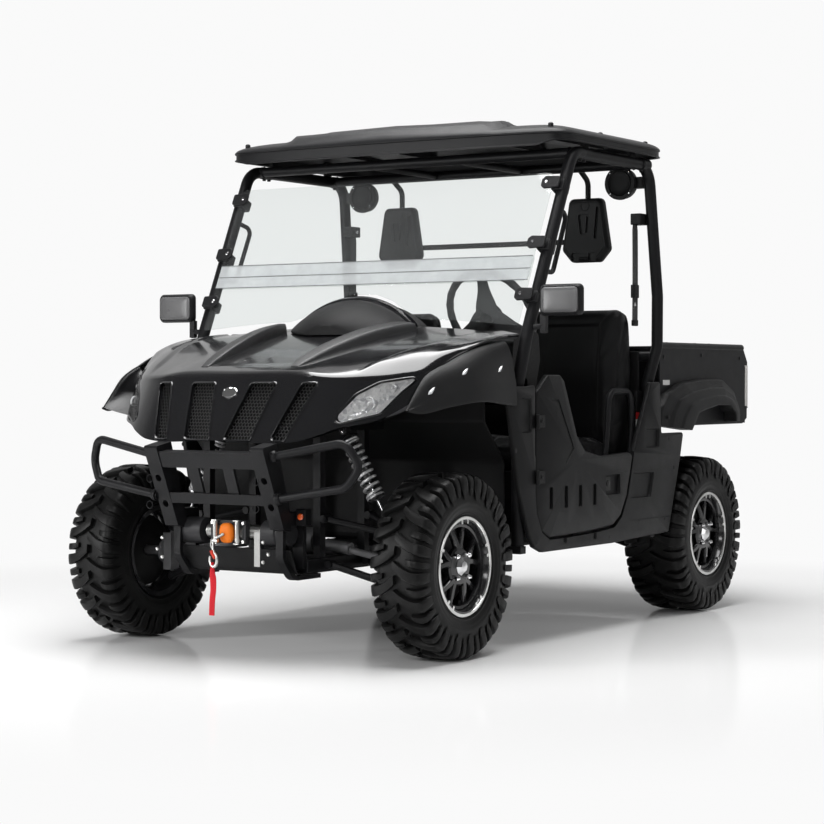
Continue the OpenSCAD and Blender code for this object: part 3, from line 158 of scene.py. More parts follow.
def finish(name, colour, rough, grain=0.0, pitch=900.0, spread=0.15, metal=0.0, coat=0.0, dust=0.0, sheen=0.0, pores=False):
    """A surface of one colour that varies a little: a slow noise lightens and darkens it by spread, a second noise moves
    its roughness, and a fine noise (or cells, for a moulded grain) of the given pitch per metre gives the bump."""
    look = bpy.data.materials.new(name)
    look.use_nodes = True
    tree = look.node_tree
    link = tree.links.new
    shader = tree.nodes["Principled BSDF"]
    shader.inputs["Metallic"].default_value = metal
    shader.inputs["Coat Weight"].default_value = coat
    shader.inputs["Specular IOR Level"].default_value = 0.5 if rough < 0.35 or metal else 0.18
    shader.inputs["Coat Roughness"].default_value = 0.06
    shader.inputs["Sheen Weight"].default_value = sheen
    spot = node(tree, "ShaderNodeTexCoord").outputs["Object"]
    slow = node(tree, "ShaderNodeTexNoise", Scale=5.0, Detail=5.0, Roughness=0.6)
    link(spot, slow.inputs["Vector"])
    shade = node(tree, "ShaderNodeValToRGB")
    lo = [max(0.0, c * (1 - spread)) for c in colour]
    hi = [min(1.0, c * (1 + spread) + dust) for c in colour]
    shade.color_ramp.elements[0].position = 0.32
    shade.color_ramp.elements[0].color = (*lo, 1)
    shade.color_ramp.elements[1].position = 0.72
    shade.color_ramp.elements[1].color = (*hi, 1)
    link(slow.outputs["Fac"], shade.inputs["Fac"])
    link(shade.outputs["Color"], shader.inputs["Base Color"])
    patch = node(tree, "ShaderNodeTexNoise", Scale=23.0, Detail=4.0)
    link(spot, patch.inputs["Vector"])
    dull = node(tree, "ShaderNodeMapRange")
    dull.inputs["To Min"].default_value = max(0.02, rough - 0.07)
    dull.inputs["To Max"].default_value = min(1.0, rough + 0.07)
    link(patch.outputs["Fac"], dull.inputs["Value"])
    link(dull.outputs["Result"], shader.inputs["Roughness"])
    if grain:
        fine = node(tree, "ShaderNodeTexVoronoi" if pores else "ShaderNodeTexNoise", Scale=pitch)
        link(spot, fine.inputs["Vector"])
        bump = node(tree, "ShaderNodeBump", Strength=grain, Distance=0.001)
        link(fine.outputs["Distance" if pores else "Fac"], bump.inputs["Height"])
        link(bump.outputs["Normal"], shader.inputs["Normal"])
    return look


def dress(look, *names, edge=0.0):
    """Gives CAD nodes their finish, and rounds their edges by the given width."""
    for name in names:
        slots = NODES[name].data.materials
        slots.clear()
        slots.append(look)
        if edge:
            weld = NODES[name].modifiers.new("weld", "WELD")
            weld.merge_threshold = 0.00005
            soft = NODES[name].modifiers.new("edge", "BEVEL")
            soft.width, soft.segments, soft.limit_method, soft.angle_limit = edge, 2, "ANGLE", math.radians(40)


def skin(points, around=True, ends=True):
    """Faces over a grid of points [..., along, across, xyz]. around closes each row to a ring and ends closes the first
    and last ring to a middle point. Leading axes are copies. Returns points and a list of face arrays."""
    p = np.asarray(points, float)
    copies = p.reshape((-1,) + p.shape[-3:])
    n, rows, cols, _ = copies.shape
    i, j = np.meshgrid(np.arange(rows - 1), np.arange(cols if around else cols - 1), indexing="ij")
    a, b = (i * cols + j).ravel(), (i * cols + (j + 1) % cols).ravel()
    quads = np.stack([a, b, b + cols, a + cols], -1)
    body = copies.reshape(n, rows * cols, 3)
    faces = [quads]
    if ends:
        body = np.concatenate([body, copies[:, :1].mean(2), copies[:, -1:].mean(2)], 1)
        k, m = np.arange(cols), (np.arange(cols) + 1) % cols
        last = (rows - 1) * cols
        faces.append(np.concatenate([np.stack([k * 0 + rows * cols, m, k], -1),
            np.stack([k * 0 + rows * cols + 1, last + k, last + m], -1)]))
    shift = (np.arange(n) * body.shape[1])[:, None, None]
    return body.reshape(-1, 3), [(f[None] + shift).reshape(-1, f.shape[1]) for f in faces]


def piece(name, parts, look, body, replaces=(), crease=38, weld=0.0, bevel=0.0, rounds=0, flip_check=True):
    """Joins skins to one object: its faces are turned outwards and shaded smooth up to the crease angle in degrees."""
    points, faces, base = [], [], 0
    for p, fs in parts:
        points.append(p)
        for f in fs:
            faces.extend((f + base).tolist() if isinstance(f, np.ndarray) else [[q + base for q in g] for g in f])
        base += len(p)
    mesh = bpy.data.meshes.new(name)
    mesh.from_pydata(np.concatenate(points).tolist(), [], faces)
    mesh.materials.append(look)
    if flip_check or weld:
        shape = bmesh.new()
        shape.from_mesh(mesh)
        if weld:
            bmesh.ops.remove_doubles(shape, verts=shape.verts, dist=weld)
        if flip_check:
            bmesh.ops.recalc_face_normals(shape, faces=shape.faces)
        shape.to_mesh(mesh)
        shape.free()
    mesh.shade_smooth()
    mesh.set_sharp_from_angle(angle=math.radians(crease))
    made = bpy.data.objects.new(name, mesh)
    scene.collection.objects.link(made)
    if bevel:
        edge = made.modifiers.new("edge", "BEVEL")
        edge.width, edge.segments, edge.limit_method, edge.angle_limit = bevel, 2, "ANGLE", math.radians(40)
        edge.harden_normals = True
    if rounds:
        sub = made.modifiers.new("rounded", "SUBSURF")
        sub.levels = sub.render_levels = rounds
    if body:
        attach(made, body)
    if replaces:
        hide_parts(*replaces)
    return made


def eased(pairs, t):
    """Smooth curve through (key, value...) rows: a cubic between neighbours whose slopes are the averages of the steps."""
    pairs = np.asarray(pairs, float)
    key, val = pairs[:, 0], pairs[:, 1:]
    step = np.diff(val, axis=0) / np.diff(key)[:, None]
    slope = np.concatenate([step[:1], (step[1:] + step[:-1]) / 2, step[-1:]])
    t = np.clip(np.asarray(t, float), key[0], key[-1])
    k = np.clip(np.searchsorted(key, t) - 1, 0, len(key) - 2)
    h = (key[k + 1] - key[k])[..., None]
    u = ((t - key[k])[..., None]) / h
    return ((2 * u**3 - 3 * u**2 + 1) * val[k] + (u**3 - 2 * u**2 + u) * h * slope[k]
        + (3 * u**2 - 2 * u**3) * val[k + 1] + (u**3 - u**2) * h * slope[k + 1])


def unit(v):
    v = np.asarray(v, float)
    return v / np.linalg.norm(v, axis=-1, keepdims=True)


def rounded(path, radius, steps=6, closed=False):
    """Polyline whose corners are replaced by arcs that touch both sides, cut back where a side is short."""
    p = np.asarray(path, float)
    made = [] if closed else [p[:1]]
    for i in (range(len(p)) if closed else range(1, len(p) - 1)):
        a, b = p[i - 1] - p[i], p[(i + 1) % len(p)] - p[i]
        la, lb = np.linalg.norm(a), np.linalg.norm(b)
        a, b = a / la, b / lb
        half = math.acos(max(-1.0, min(1.0, float(a @ b)))) / 2
        if half > 1.55:
            made.append(p[i:i + 1])
            continue
        back = min(radius / math.tan(half), 0.48 * la, 0.48 * lb)
        r = back * math.tan(half)
        middle = p[i] + unit(a + b) * r / math.sin(half)
        start, stop = p[i] + a * back - middle, p[i] + b * back - middle
        sweep = math.pi - 2 * half
        t = np.linspace(0, 1, steps)[:, None]
        made.append(middle + (np.sin((1 - t) * sweep) * start + np.sin(t * sweep) * stop) / math.sin(sweep))
    if not closed:
        made.append(p[-1:])
    return np.concatenate(made)


def tube(path, radius, sides=20, closed=False, ends=True, squash=(1.0, 1.0)):
    """Round section swept along a path. The section's frame is carried from point to point without twist."""
    p = np.asarray(path, float)
    along = unit(np.roll(p, -1, 0) - np.roll(p, 1, 0)) if closed else unit(np.gradient(p, axis=0))
    side = np.zeros_like(p)
    side[0] = np.cross(along[0], [0.13, 0.31, 0.94] if abs(along[0][2]) < 0.9 else [1.0, 0.1, 0.0])
    for i in range(1, len(p)):
        side[i] = side[i - 1] - along[i] * (side[i - 1] @ along[i])
    side = unit(side)
    up = np.cross(along, side)
    a = np.linspace(0, 2 * math.pi, sides + 1)[:-1]
    r = np.broadcast_to(np.asarray(radius, float), (len(p),))[:, None, None]
    rings = p[:, None] + r * (squash[0] * np.cos(a)[None, :, None] * side[:, None]
        + squash[1] * np.sin(a)[None, :, None] * up[:, None])
    if closed:
        rings = np.concatenate([rings, rings[:1]])
    return skin(rings, ends=ends and not closed)


def turned_on(start, stop, profile, sides=24):
    """Profile rows (part of the way from start to stop, radius) turned round that line."""
    a, b = np.asarray(start, float), np.asarray(stop, float)
    way = unit(b - a)
    one = unit(np.cross(way, [0.2, 0.3, 0.93] if abs(way[2]) < 0.9 else [1, 0.1, 0]))
    two = np.cross(way, one)
    t = np.linspace(0, 2 * math.pi, sides + 1)[:-1]
    rows = np.asarray(profile, float)
    ring = np.cos(t)[:, None] * one + np.sin(t)[:, None] * two
    return skin((a + (b - a) * rows[:, :1])[:, None] + rows[:, 1][:, None, None] * ring)


def block(lo, hi):
    """Upright box as a skin."""
    x0, y0, z0 = lo
    x1, y1, z1 = hi
    ring = np.array([[x0, y0], [x1, y0], [x1, y1], [x0, y1]])
    return skin(np.stack([np.column_stack([ring, np.full(4, z)]) for z in (z0, z1)]))


def prism(outline, origin, u, v, depth):
    """Closed outline in the plane of u and v at origin, drawn out along their cross product by depth (from, to)."""
    o, u, v = np.asarray(origin, float), np.asarray(u, float), np.asarray(v, float)
    q = np.asarray(outline, float)
    flat = o + q[:, :1] * u + q[:, 1:] * v
    w = np.cross(u, v)
    body = np.concatenate([flat + w * depth[0], flat + w * depth[1]])
    n = len(q)
    k, m = np.arange(n), (np.arange(n) + 1) % n
    return body, [np.stack([k, m, m + n, k + n], -1), [list(range(n))[::-1], list(range(n, 2 * n))]]


def mirror(parts):
    """The same skins and their mirror images across the vehicle's middle plane."""
    return list(parts) + [(np.asarray(p) * [-1, 1, 1], fs) for p, fs in parts]


def from_axle(points):
    """Points measured from the front axle, in millimetres, in the vehicle's frame."""
    return np.asarray(points, float) / 1000 + [0, AXLE, 0]


powder_coat = finish("powder_coat", STEEL_BLACK, 0.40, grain=0.25, pitch=700.0, spread=0.2)
dress(powder_coat, "frame", "suspension_towers", edge=0.003)
CAGE_R = 0.0225
CAGE = from_axle(rounded([[697.5, 438, 358], [697.5, 438, 930], [729, 447, 1109], [737, 767, 1786], [724, 900, 1786],
    [724, 1412, 1786], [735, 1470, 1278], [731, 1476, 1078], [697.5, 1455, 930], [697.5, 1455, 358]], 90, 8))
HANDLE = from_axle(rounded([[729, 660, 1578], [721, 752, 1552], [721, 650, 1338], [729, 548, 1338]], 25, 7))
HIP_BAR = from_axle(rounded([[693, 1090, 560], [693, 1120, 723], [693, 1140, 905], [693, 1325, 905], [693, 1330, 760],
    [693, 1300, 560]], 50, 8))
cage_parts = mirror([tube(CAGE, CAGE_R, 28), tube(HANDLE, 0.009, 14), tube(HIP_BAR, 0.012, 18)])
for y, z in ((815, 1786), (1330, 1786), (1471, 1040)):
    cage_parts.append(tube(from_axle([[-716, y, z], [716, y, z]]), 0.0195, 24))
for x in (-200, 200):
    cage_parts.append(tube(from_axle([[x, 815, 1786], [x, 1330, 1786]]), 0.014, 18))
# Weld beads round the saddled ends, sleeves with two bolts where the lengths meet, and the roof's feet
beads = []
for x, y, z, way, r in ((701, 815, 1786, 0, 20), (701, 1330, 1786, 0, 20), (709, 1471, 1040, 0, 20),
        (200, 835, 1786, 1, 15), (200, 1310, 1786, 1, 15), (-200, 835, 1786, 1, 15), (-200, 1310, 1786, 1, 15)):
    t = np.linspace(0, 2 * math.pi, 37)[:-1]
    ring = np.stack([t * 0, r * np.cos(t), r * np.sin(t)], -1)
    ring = ring if way == 0 else ring[:, [1, 0, 2]]
    beads.append(tube(from_axle(ring + [x, y, z]), 0.0028 + 0.0007 * np.cos(12 * t), 8, closed=True))
beads = mirror(beads)
sleeves = []
for y in (862, 1361):
    sleeves.append(turned_on(from_axle([727, y - 30, 1786]), from_axle([726, y + 30, 1786]),
        [[0, 0.0226], [0.02, 0.0246], [0.98, 0.0246], [1, 0.0226]]))
    for dy in (-16, 16):
        sleeves.append(turned_on(from_axle([726, y + dy, 1755]), from_axle([726, y + dy, 1766]),
            [[0, 0.004], [0, 0.007], [0.6, 0.0075], [1, 0.0075]], 6))
for y in (900, 1280):
    sleeves.append(block(from_axle([709, y - 20, 1807]), from_axle([723, y + 20, 1866])))
sleeves.append(block(from_axle([665.5, 1075, 540]), from_axle([703, 1315, 575])))
piece("cage_tubes", cage_parts + beads + mirror(sleeves), powder_coat, "chassis", replaces=["roll_cage"],
    crease=35)
moulded_black = finish("moulded_black", (0.009, 0.009, 0.0095), 0.44, grain=0.35, pitch=1500.0, pores=True, spread=0.12)
dress(moulded_black, "skid_plate", edge=0.002)

# ---------------------------------------------------------------- Engine and exhaust
# Cast aluminium engine block, dull grey, seen from below only. The muffler is a rolled drum of aluminised steel
# that has gone brown and blue near the pipe.
cast_grey = finish("cast_grey", (0.20, 0.20, 0.205), 0.55, grain=0.5, pitch=600.0, metal=0.6, spread=0.25)
dress(cast_grey, "engine", "knuckle_left", "knuckle_right", edge=0.002)
bare_steel = finish("bare_steel", (0.30, 0.28, 0.26), 0.38, grain=0.1, metal=1.0, spread=0.35)
dress(bare_steel, "exhaust")

# ---------------------------------------------------------------- Suspension arms and shocks
# Tubular A-arms, coated like the frame, turn on rubber bushes at the frame and carry ball joints at the knuckles.
# Each shock is a black damper with a bright rod inside a silver coil spring between two pressed seats.
dress(powder_coat, "suspension_arms")
spring_silver = finish("spring_silver", (0.78, 0.78, 0.79), 0.22, metal=0.55, coat=0.5, spread=0.05)
damper_black = finish("damper_black", (0.025, 0.025, 0.026), 0.28, grain=0.05, coat=0.3)
bright_steel = finish("bright_steel", (0.75, 0.75, 0.76), 0.14, metal=1.0, spread=0.04)
SHOCKS = [((269.3, -20, 772), (444, -6, 446)), ((269.3, 1915, 672), (460, 1915, 439.3))]
springs, dampers, rods = [], [], []
for top, low in SHOCKS:
    top, low = from_axle(top), from_axle(low)
    length = np.linalg.norm(low - top)
    way = unit(low - top)
    one = unit(np.cross(way, [0, 1, 0]))
    two = np.cross(way, one)
    turns = 10.5
    t = np.linspace(0, 1, 260)
    a = 2 * math.pi * turns * t
    # Closed end turns: the pitch is small over the first and last turn
    along = length * (0.105 + 0.60 * np.interp(t, [0, 0.09, 0.91, 1], [0, 0.03, 0.97, 1]))
    coil = top + along[:, None] * way + 0.0285 * (np.cos(a)[:, None] * one + np.sin(a)[:, None] * two)
    springs.append(tube(coil, 0.0056, 10))
    dampers += [turned_on(top, low, [[0.06, 0.012], [0.07, 0.022], [0.09, 0.0335], [0.105, 0.0335], [0.11, 0.018], [0.50, 0.018],
        [0.51, 0.0155], [0.53, 0.0155], [0.54, 0.008]], 32),
        turned_on(top, low, [[0.705, 0.012], [0.705, 0.0325], [0.722, 0.0335], [0.735, 0.024], [0.74, 0.011]], 32)]
    for end in (top, low):
        dampers.append(turned_on(end - [0, 0.016, 0], end + [0, 0.016, 0], [[0, 0.0105], [0, 0.014], [1, 0.014], [1, 0.0105]], 24))
        rods.append(turned_on(end - [0, 0.019, 0], end + [0, 0.019, 0], [[0, 0.006], [0, 0.0085], [0.12, 0.009], [0.88, 0.009],
            [1, 0.0085], [1, 0.006]], 6))
    rods.append(turned_on(top, low, [[0.52, 0.0062], [0.94, 0.0062]], 20))
    dampers.append(turned_on(top, low, [[0.90, 0.0075], [0.905, 0.011], [0.97, 0.011], [0.97, 0.0075]], 20))
piece("coil_springs", mirror(springs), spring_silver, "chassis", replaces=["shocks"], crease=60)
piece("shock_dampers", mirror(dampers), damper_black, "chassis", crease=35)
piece("shock_rods", mirror(rods), bright_steel, "chassis", crease=35)

# ---------------------------------------------------------------- Axle shafts
# Ground steel half shafts between a cast differential and the hubs, each joint packed with grease inside a
# moulded rubber bellows held by two bands.
dress(cast_grey, "axle_shafts", edge=0.001)
boot_rubber = finish("boot_rubber", (0.02, 0.02, 0.02), 0.6, grain=0.2, pitch=500.0)
boots = []
for y, z0, x0, x1, z1 in ((0, 381, 96, 430, 330), (1915, 381, 96, 400, 330)):
    for a, b in (((x0, y, z0), (x0 + 62, y, z0 - 9)), ((x1 + 30, y, z1 - 5), (x1 - 25, y, z1 + 4))):
        t = np.linspace(0, 1, 41)
        boots.append(turned_on(from_axle(a), from_axle(b),
            np.stack([t, 0.0265 - 0.009 * t + 0.0032 * np.cos(10 * math.pi * t)], -1), 24))
piece("cv_boots", mirror(boots), boot_rubber, "chassis", crease=60)

# ---------------------------------------------------------------- Tyres
# Bias-ply mud tyres of black rubber, moulded with two rows of bent lugs that meet in a chevron at the tread's middle.
# Each is stretched over its rim, the front ones narrower than the rear ones.
TYRE_R, LUG_H, BEAD_R, LUGS = 0.3175, 0.019, 0.1527, 20
AXLE_Z = 0.3175


def on_axle(polar, middle, side, y):
    """Turns points given as (radius, angle, outwards from the wheel's middle) into the vehicle's frame."""
    r, a, x = polar[..., 0], polar[..., 1], polar[..., 2]
    return np.stack([side * (middle + x), y + r * np.cos(a), AXLE_Z + r * np.sin(a)], -1)


def tyre_skins(width, middle, side, y):
    """Carcass: a profile of radius against width, turned round the axle. Lugs: rings of eight points carried from the
    tread's middle over the shoulder on to the sidewall, where long and short ones take turns."""
    h, base = width / 2, TYRE_R - LUG_H
    half = np.array([[0, base, 0.0], [1, base, h * 0.45], [2, base - 0.004, h - 0.036], [3, base - 0.020, h - 0.019],
        [4, base - 0.048, h - 0.008], [5, base - 0.078, h - 0.004], [6, BEAD_R + 0.052, h - 0.006],
        [7, BEAD_R + 0.030, h - 0.011], [7.6, BEAD_R + 0.0265, h - 0.0105], [8, BEAD_R + 0.021, h - 0.016],
        [9, BEAD_R + 0.010, h - 0.024], [10, BEAD_R, h - 0.036]])
    t = np.linspace(0, 10, 46)
    right = eased(half, t)
    ridge = 0.0012 * (np.abs(t - 6.3) < 0.12)
    right[:, 1] += ridge
    left = right[::-1] * [1, -1]
    profile = np.concatenate([left[:-1], right])
    turn = np.linspace(0, 2 * math.pi, 97)[:-1]
    polar = np.stack(np.broadcast_arrays(profile[:, None, 0], turn[None, :], profile[:, None, 1]), -1)
    parts = [skin(on_axle(polar, middle, side, y), ends=False)]
    pitch = 2 * math.pi * TYRE_R / LUGS
    root = base - 0.008
    # Stations of a lug: part of the half width, along the tread, top radius, root radius, half width of the bar
    long_lug = np.array([[0.00, -0.02, -0.24, TYRE_R - 0.001, root, 0.15], [0.25, 0.26, -0.02, TYRE_R, root, 0.17],
        [0.50, 0.55, 0.13, TYRE_R - 0.001, root, 0.18], [0.70, 0.80, 0.20, TYRE_R - 0.005, root - 0.010, 0.20],
        [0.82, 0.95, 0.22, TYRE_R - 0.016, root - 0.028, 0.20], [0.92, 0.995, 0.22, TYRE_R - 0.034, root - 0.052, 0.17],
        [1.00, 0.985, 0.22, TYRE_R - 0.062, root - 0.062, 0.11]])
    short_lug = np.array([[0.00, 0.44, -0.36, TYRE_R - 0.008, root, 0.09], [0.35, 0.62, -0.31, TYRE_R - 0.004, root - 0.004, 0.11],
        [0.60, 0.84, -0.28, TYRE_R - 0.007, root - 0.012, 0.12], [0.80, 0.965, -0.27, TYRE_R - 0.022, root - 0.030, 0.12],
        [1.00, 0.985, -0.27, TYRE_R - 0.044, root - 0.048, 0.08]])
    for row in (1, -1):
        for lug, steps in ((long_lug, 11), (short_lug, 8)):
            s = eased(lug, np.linspace(0, 1, steps))
            across, along, top, low, wide = s[:, 0] * h, s[:, 1] * pitch, s[:, 2], s[:, 3], s[:, 4] * pitch
            # Ring: up one flank, over the top with rounded edges, down the other
            side_at = np.array([-1.08, -1.0, -0.90, -0.35, 0.35, 0.90, 1.0, 1.08])
            lift = np.array([0.0, 0.86, 0.97, 1.0, 1.0, 0.97, 0.86, 0.0])
            r = low[:, None] + (top - low)[:, None] * lift
            a = (along[:, None] + wide[:, None] * side_at) / TYRE_R
            x = np.broadcast_to((row * across)[:, None], r.shape)
            one = np.stack([r, a, x], -1)
            shift = np.zeros((LUGS, 1, 1, 3))
            shift[:, 0, 0, 1] = 2 * math.pi * (np.arange(LUGS) + (0 if row > 0 else 0.5)) / LUGS
            parts.append(skin(on_axle(one[None] + shift, middle, side, y)))
    return parts


# Black rubber: dusty grey in slow patches, darker in a fine grain
tyre_look = finish("tyre_rubber", (0.007, 0.007, 0.007), 0.40, grain=0.3, pitch=420.0, spread=0.35)
WHEELS = [("front", "left", 1, AXLE, 0.205), ("front", "right", -1, AXLE, 0.205),
    ("rear", "left", 1, AXLE + 1.915, 0.254), ("rear", "right", -1, AXLE + 1.915, 0.254)]
for end, hand, side, y, width in WHEELS:
    piece(f"mud_tyre_{end}_{hand}", tyre_skins(width, 0.762 - width / 2, side, y), tyre_look, f"wheel_{end}_{hand}",
        replaces=[f"tyre_{end}_{hand}"], crease=42)

# ---------------------------------------------------------------- Wheels
# Cast aluminium, painted gloss black, then turned bright on the outer lip and on the notches between the spokes.
# Four chromed lug nuts hold each one on its hub, under a faceted chromed cap.
wheel_black = finish("wheel_black", (0.010, 0.010, 0.011), 0.20, grain=0.03, pitch=500.0, coat=0.4)
drum_black = finish("drum_black", (0.02, 0.02, 0.02), 0.45, metal=0.5, spread=0.3)
machined = finish("machined_lip", (0.82, 0.82, 0.81), 0.20, metal=1.0, spread=0.04, grain=0.05, pitch=1400.0)
chrome = finish("chrome", (0.86, 0.86, 0.87), 0.07, metal=1.0, spread=0.02)


def turned(profile, middle, side, y, steps=96, faces_round=None):
    """Profile of radius against outward distance, turned round the axle."""
    profile = np.asarray(profile, float)
    a = np.linspace(0, 2 * math.pi, (faces_round or steps) + 1)[:-1]
    polar = np.stack(np.broadcast_arrays(profile[:, None, 0], a[None, :], profile[:, None, 1]), -1)
    return on_axle(polar, middle, side, y)


def spoke_skins(middle, side, y, face):
    """Five forked spokes. Each arm is a bar of trapezoid section from the hub to the rim, its angle, width and
    depth eased along the radius; fork gives the angle of the two arms' outer ends."""
    parts = []
    for fork in (-1, 1):
        s = eased([[0, 0.036, 0.10, 0.015, 0.004], [0.35, 0.066, 0.12, 0.0105, 0.001], [0.7, 0.108, 0.245, 0.0085, -0.004],
            [1, 0.146, 0.30, 0.0095, -0.012]], np.linspace(0, 1, 12))
        r, a, wide, lift = s.T
        across = np.array([-1.25, -1.0, -0.78, 0.78, 1.0, 1.25, 0.9, -0.9])
        deep = np.array([-0.010, -0.002, 0, 0, -0.002, -0.010, -0.020, -0.020])
        rr = np.broadcast_to(r[:, None], (12, 8))
        aa = fork * a[:, None] + wide[:, None] * across / r[:, None]
        xx = face + lift[:, None] + deep
        one = np.stack([rr, aa, xx], -1)
        turn = np.zeros((5, 1, 1, 3))
        turn[:, 0, 0, 1] = math.radians(90) + 2 * math.pi * np.arange(5) / 5
        parts.append(skin(on_axle(one[None] + turn, middle, side, y)))
    return parts


for end, hand, side, y, width in WHEELS:
    h = width / 2 - 0.014
    middle = 0.762 - width / 2
    body = f"wheel_{end}_{hand}"
    face = h - 0.022
    barrel = [[0.163, h - 0.006], [0.1525, h - 0.013], [0.1525, -h + 0.013], [0.163, -h + 0.006], [0.170, -h], [0.150, -h + 0.004],
        [0.143, -h + 0.03], [0.140, 0.0], [0.143, h - 0.045], [0.149, h - 0.010], [0.1535, h - 0.0015], [0.158, h - 0.0015]]
    barrel = np.array(barrel + [barrel[0]])
    ring = [[0.150, face - 0.004], [0.143, face + 0.002], [0.134, face + 0.001], [0.132, face - 0.008], [0.142, face - 0.016],
        [0.150, face - 0.014]]
    ring = np.array(ring + [ring[0]])
    hub = [[0.0172, face - 0.052], [0.0172, face + 0.002], [0.030, face + 0.004], [0.060, face + 0.002], [0.066, face - 0.004],
        [0.064, face - 0.020], [0.041, face - 0.026], [0.040, face - 0.052]]
    hub = np.array(hub + [hub[0]])
    black = [skin(turned(barrel, middle, side, y), ends=False), skin(turned(ring, middle, side, y), ends=False),
        skin(turned(hub, middle, side, y, 48), ends=False)] + spoke_skins(middle, side, y, face)
    piece(f"alloy_wheel_{end}_{hand}", black, wheel_black, body, replaces=[f"rim_{end}_{hand}"], weld=0.0, crease=30)
    # Brake drum and hub flange on the inner side
    drum = np.array([[0.020, face - 0.054], [0.118, face - 0.050], [0.128, face - 0.056], [0.130, face - 0.084], [0.122, face - 0.088], [0.020, face - 0.090]])
    piece(f"brake_drum_{end}_{hand}", [skin(turned(np.concatenate([drum, drum[:1]]), middle, side, y, 48), ends=False)], drum_black, body,
        crease=30)
    # Bright turned lip with ten notches in pairs
    lip = np.array([[0.1585, h - 0.0012], [0.160, h + 0.0012], [0.168, h + 0.0016], [0.1705, h], [0.1695, h - 0.004],
        [0.163, h - 0.0062], [0.1585, h - 0.0012]])
    notch = np.stack(np.broadcast_arrays(
        np.array([[0.146, 0.146, 0.160, 0.160], [0.146, 0.146, 0.160, 0.160]])[None],
        np.array([[-0.030, 0.030, 0.036, -0.036], [-0.030, 0.030, 0.036, -0.036]])[None],
        np.array([[h - 0.012] * 4, [h - 0.001] * 4])[None]), -1)
    turn = np.zeros((10, 1, 1, 3))
    turn[:, 0, 0, 1] = (math.radians(90) + 2 * math.pi * np.repeat(np.arange(5), 2) / 5 + np.tile([-0.12, 0.12], 5))
    piece(f"bright_lip_{end}_{hand}", [skin(turned(lip, middle, side, y), ends=False),
        skin(on_axle(notch + turn, middle, side, y))], machined, body, crease=30)
    # Lug nuts and the faceted cap
    nut_profile = np.array([[0.0, 0.022], [0.0045, 0.0205], [0.0085, 0.014], [0.0095, 0.004], [0.0095, 0.0], [0.0, 0.0]])
    a6 = np.linspace(0, 2 * math.pi, 13)[:-1]
    local = np.stack([nut_profile[:, 0, None] * np.cos(a6), nut_profile[:, 0, None] * np.sin(a6),
        np.broadcast_to(nut_profile[:, 1, None], (6, 12))], -1)
    spots = math.radians(45) + np.arange(4) * math.pi / 2
    nuts = np.stack([side * (middle + face + 0.002 + np.broadcast_to(local[None, ..., 2], (4, 6, 12))),
        y + (0.052 * np.cos(spots))[:, None, None] + local[None, ..., 0],
        AXLE_Z + (0.052 * np.sin(spots))[:, None, None] + local[None, ..., 1]], -1)
    cap = np.array([[0.0, face + 0.020], [0.018, face + 0.019], [0.0275, face + 0.009], [0.031, face + 0.006], [0.031, face], [0.0, face]])
    piece(f"chrome_cap_{end}_{hand}", [skin(nuts), skin(turned(cap, middle, side, y, faces_round=8))], chrome, body,
        crease=20)

# ---------------------------------------------------------------- Brush guard
# Two uprights of flat-sided tube with two beams and two slats between them, and a bent round hoop on each side,
# all welded and powder coated in satin black. It is bolted to the front towers and under the frame.
dress(powder_coat, "brush_guard", edge=0.004)
HOOP = from_axle(rounded([[251, -430, 690], [530, -398, 742], [572, -370, 662], [530, -392, 592], [251, -405, 548]], 45, 10))
hoops = [tube(HOOP, 0.0143, 24)]
for x, y, z, x1, y1, z1 in ((256, -429.5, 691, 274, -427, 694), (256, -405, 549, 274, -404, 551.5)):
    hoops.append(turned_on(from_axle([x, y, z]), from_axle([x1, y1, z1]), [[0, 0.0145], [0, 0.0195], [0.25, 0.021], [0.7, 0.0205],
        [1, 0.0165], [1, 0.0145]], 32))
for z in (520, 610):
    lip_at = from_axle([226.5, -480.5, z])
    t = np.linspace(0, 2 * math.pi, 33)[:-1]
    hoops.append(tube(lip_at + np.stack([0.0128 * np.cos(t), t * 0, 0.0128 * np.sin(t)], -1), 0.0016, 8, closed=True))
piece("guard_hoops", mirror(hoops), powder_coat, "chassis", crease=35)

# ---------------------------------------------------------------- Winch
# Electric winch on the front cross member: motor and gear case of black cast aluminium, a steel drum wound with
# cable, a pressed frame with two upright zinc plated rollers, an orange rubber stopper and a forged hook.
winch_black = finish("winch_black", (0.03, 0.03, 0.032), 0.38, grain=0.3, pitch=700.0)
zinc = finish("zinc_plate", (0.62, 0.62, 0.60), 0.30, metal=1.0, spread=0.12, grain=0.05)
cable_steel = finish("cable_steel", (0.40, 0.40, 0.39), 0.35, metal=1.0, spread=0.2)
stopper_orange = finish("stopper_orange", (0.85, 0.20, 0.015), 0.45, grain=0.2, pitch=500.0, spread=0.06)
latch_red = finish("latch_red", (0.62, 0.045, 0.02), 0.35, spread=0.08)
WIND = from_axle([0, -285, 425])
case = [turned_on(WIND + [0.130, 0, 0], WIND + [0.232, 0, 0], [[0, 0.030], [0, 0.045], [0.08, 0.046], [0.55, 0.046], [0.60, 0.042],
    [0.95, 0.042], [1, 0.036], [1, 0.010]], 40), turned_on(WIND - [0.130, 0, 0], WIND - [0.232, 0, 0],
    [[0, 0.030], [0, 0.045], [0.1, 0.046], [0.9, 0.046], [1, 0.040], [1, 0.012]], 40)]
piece("winch_case", case, winch_black, "chassis", replaces=["winch"], crease=30)
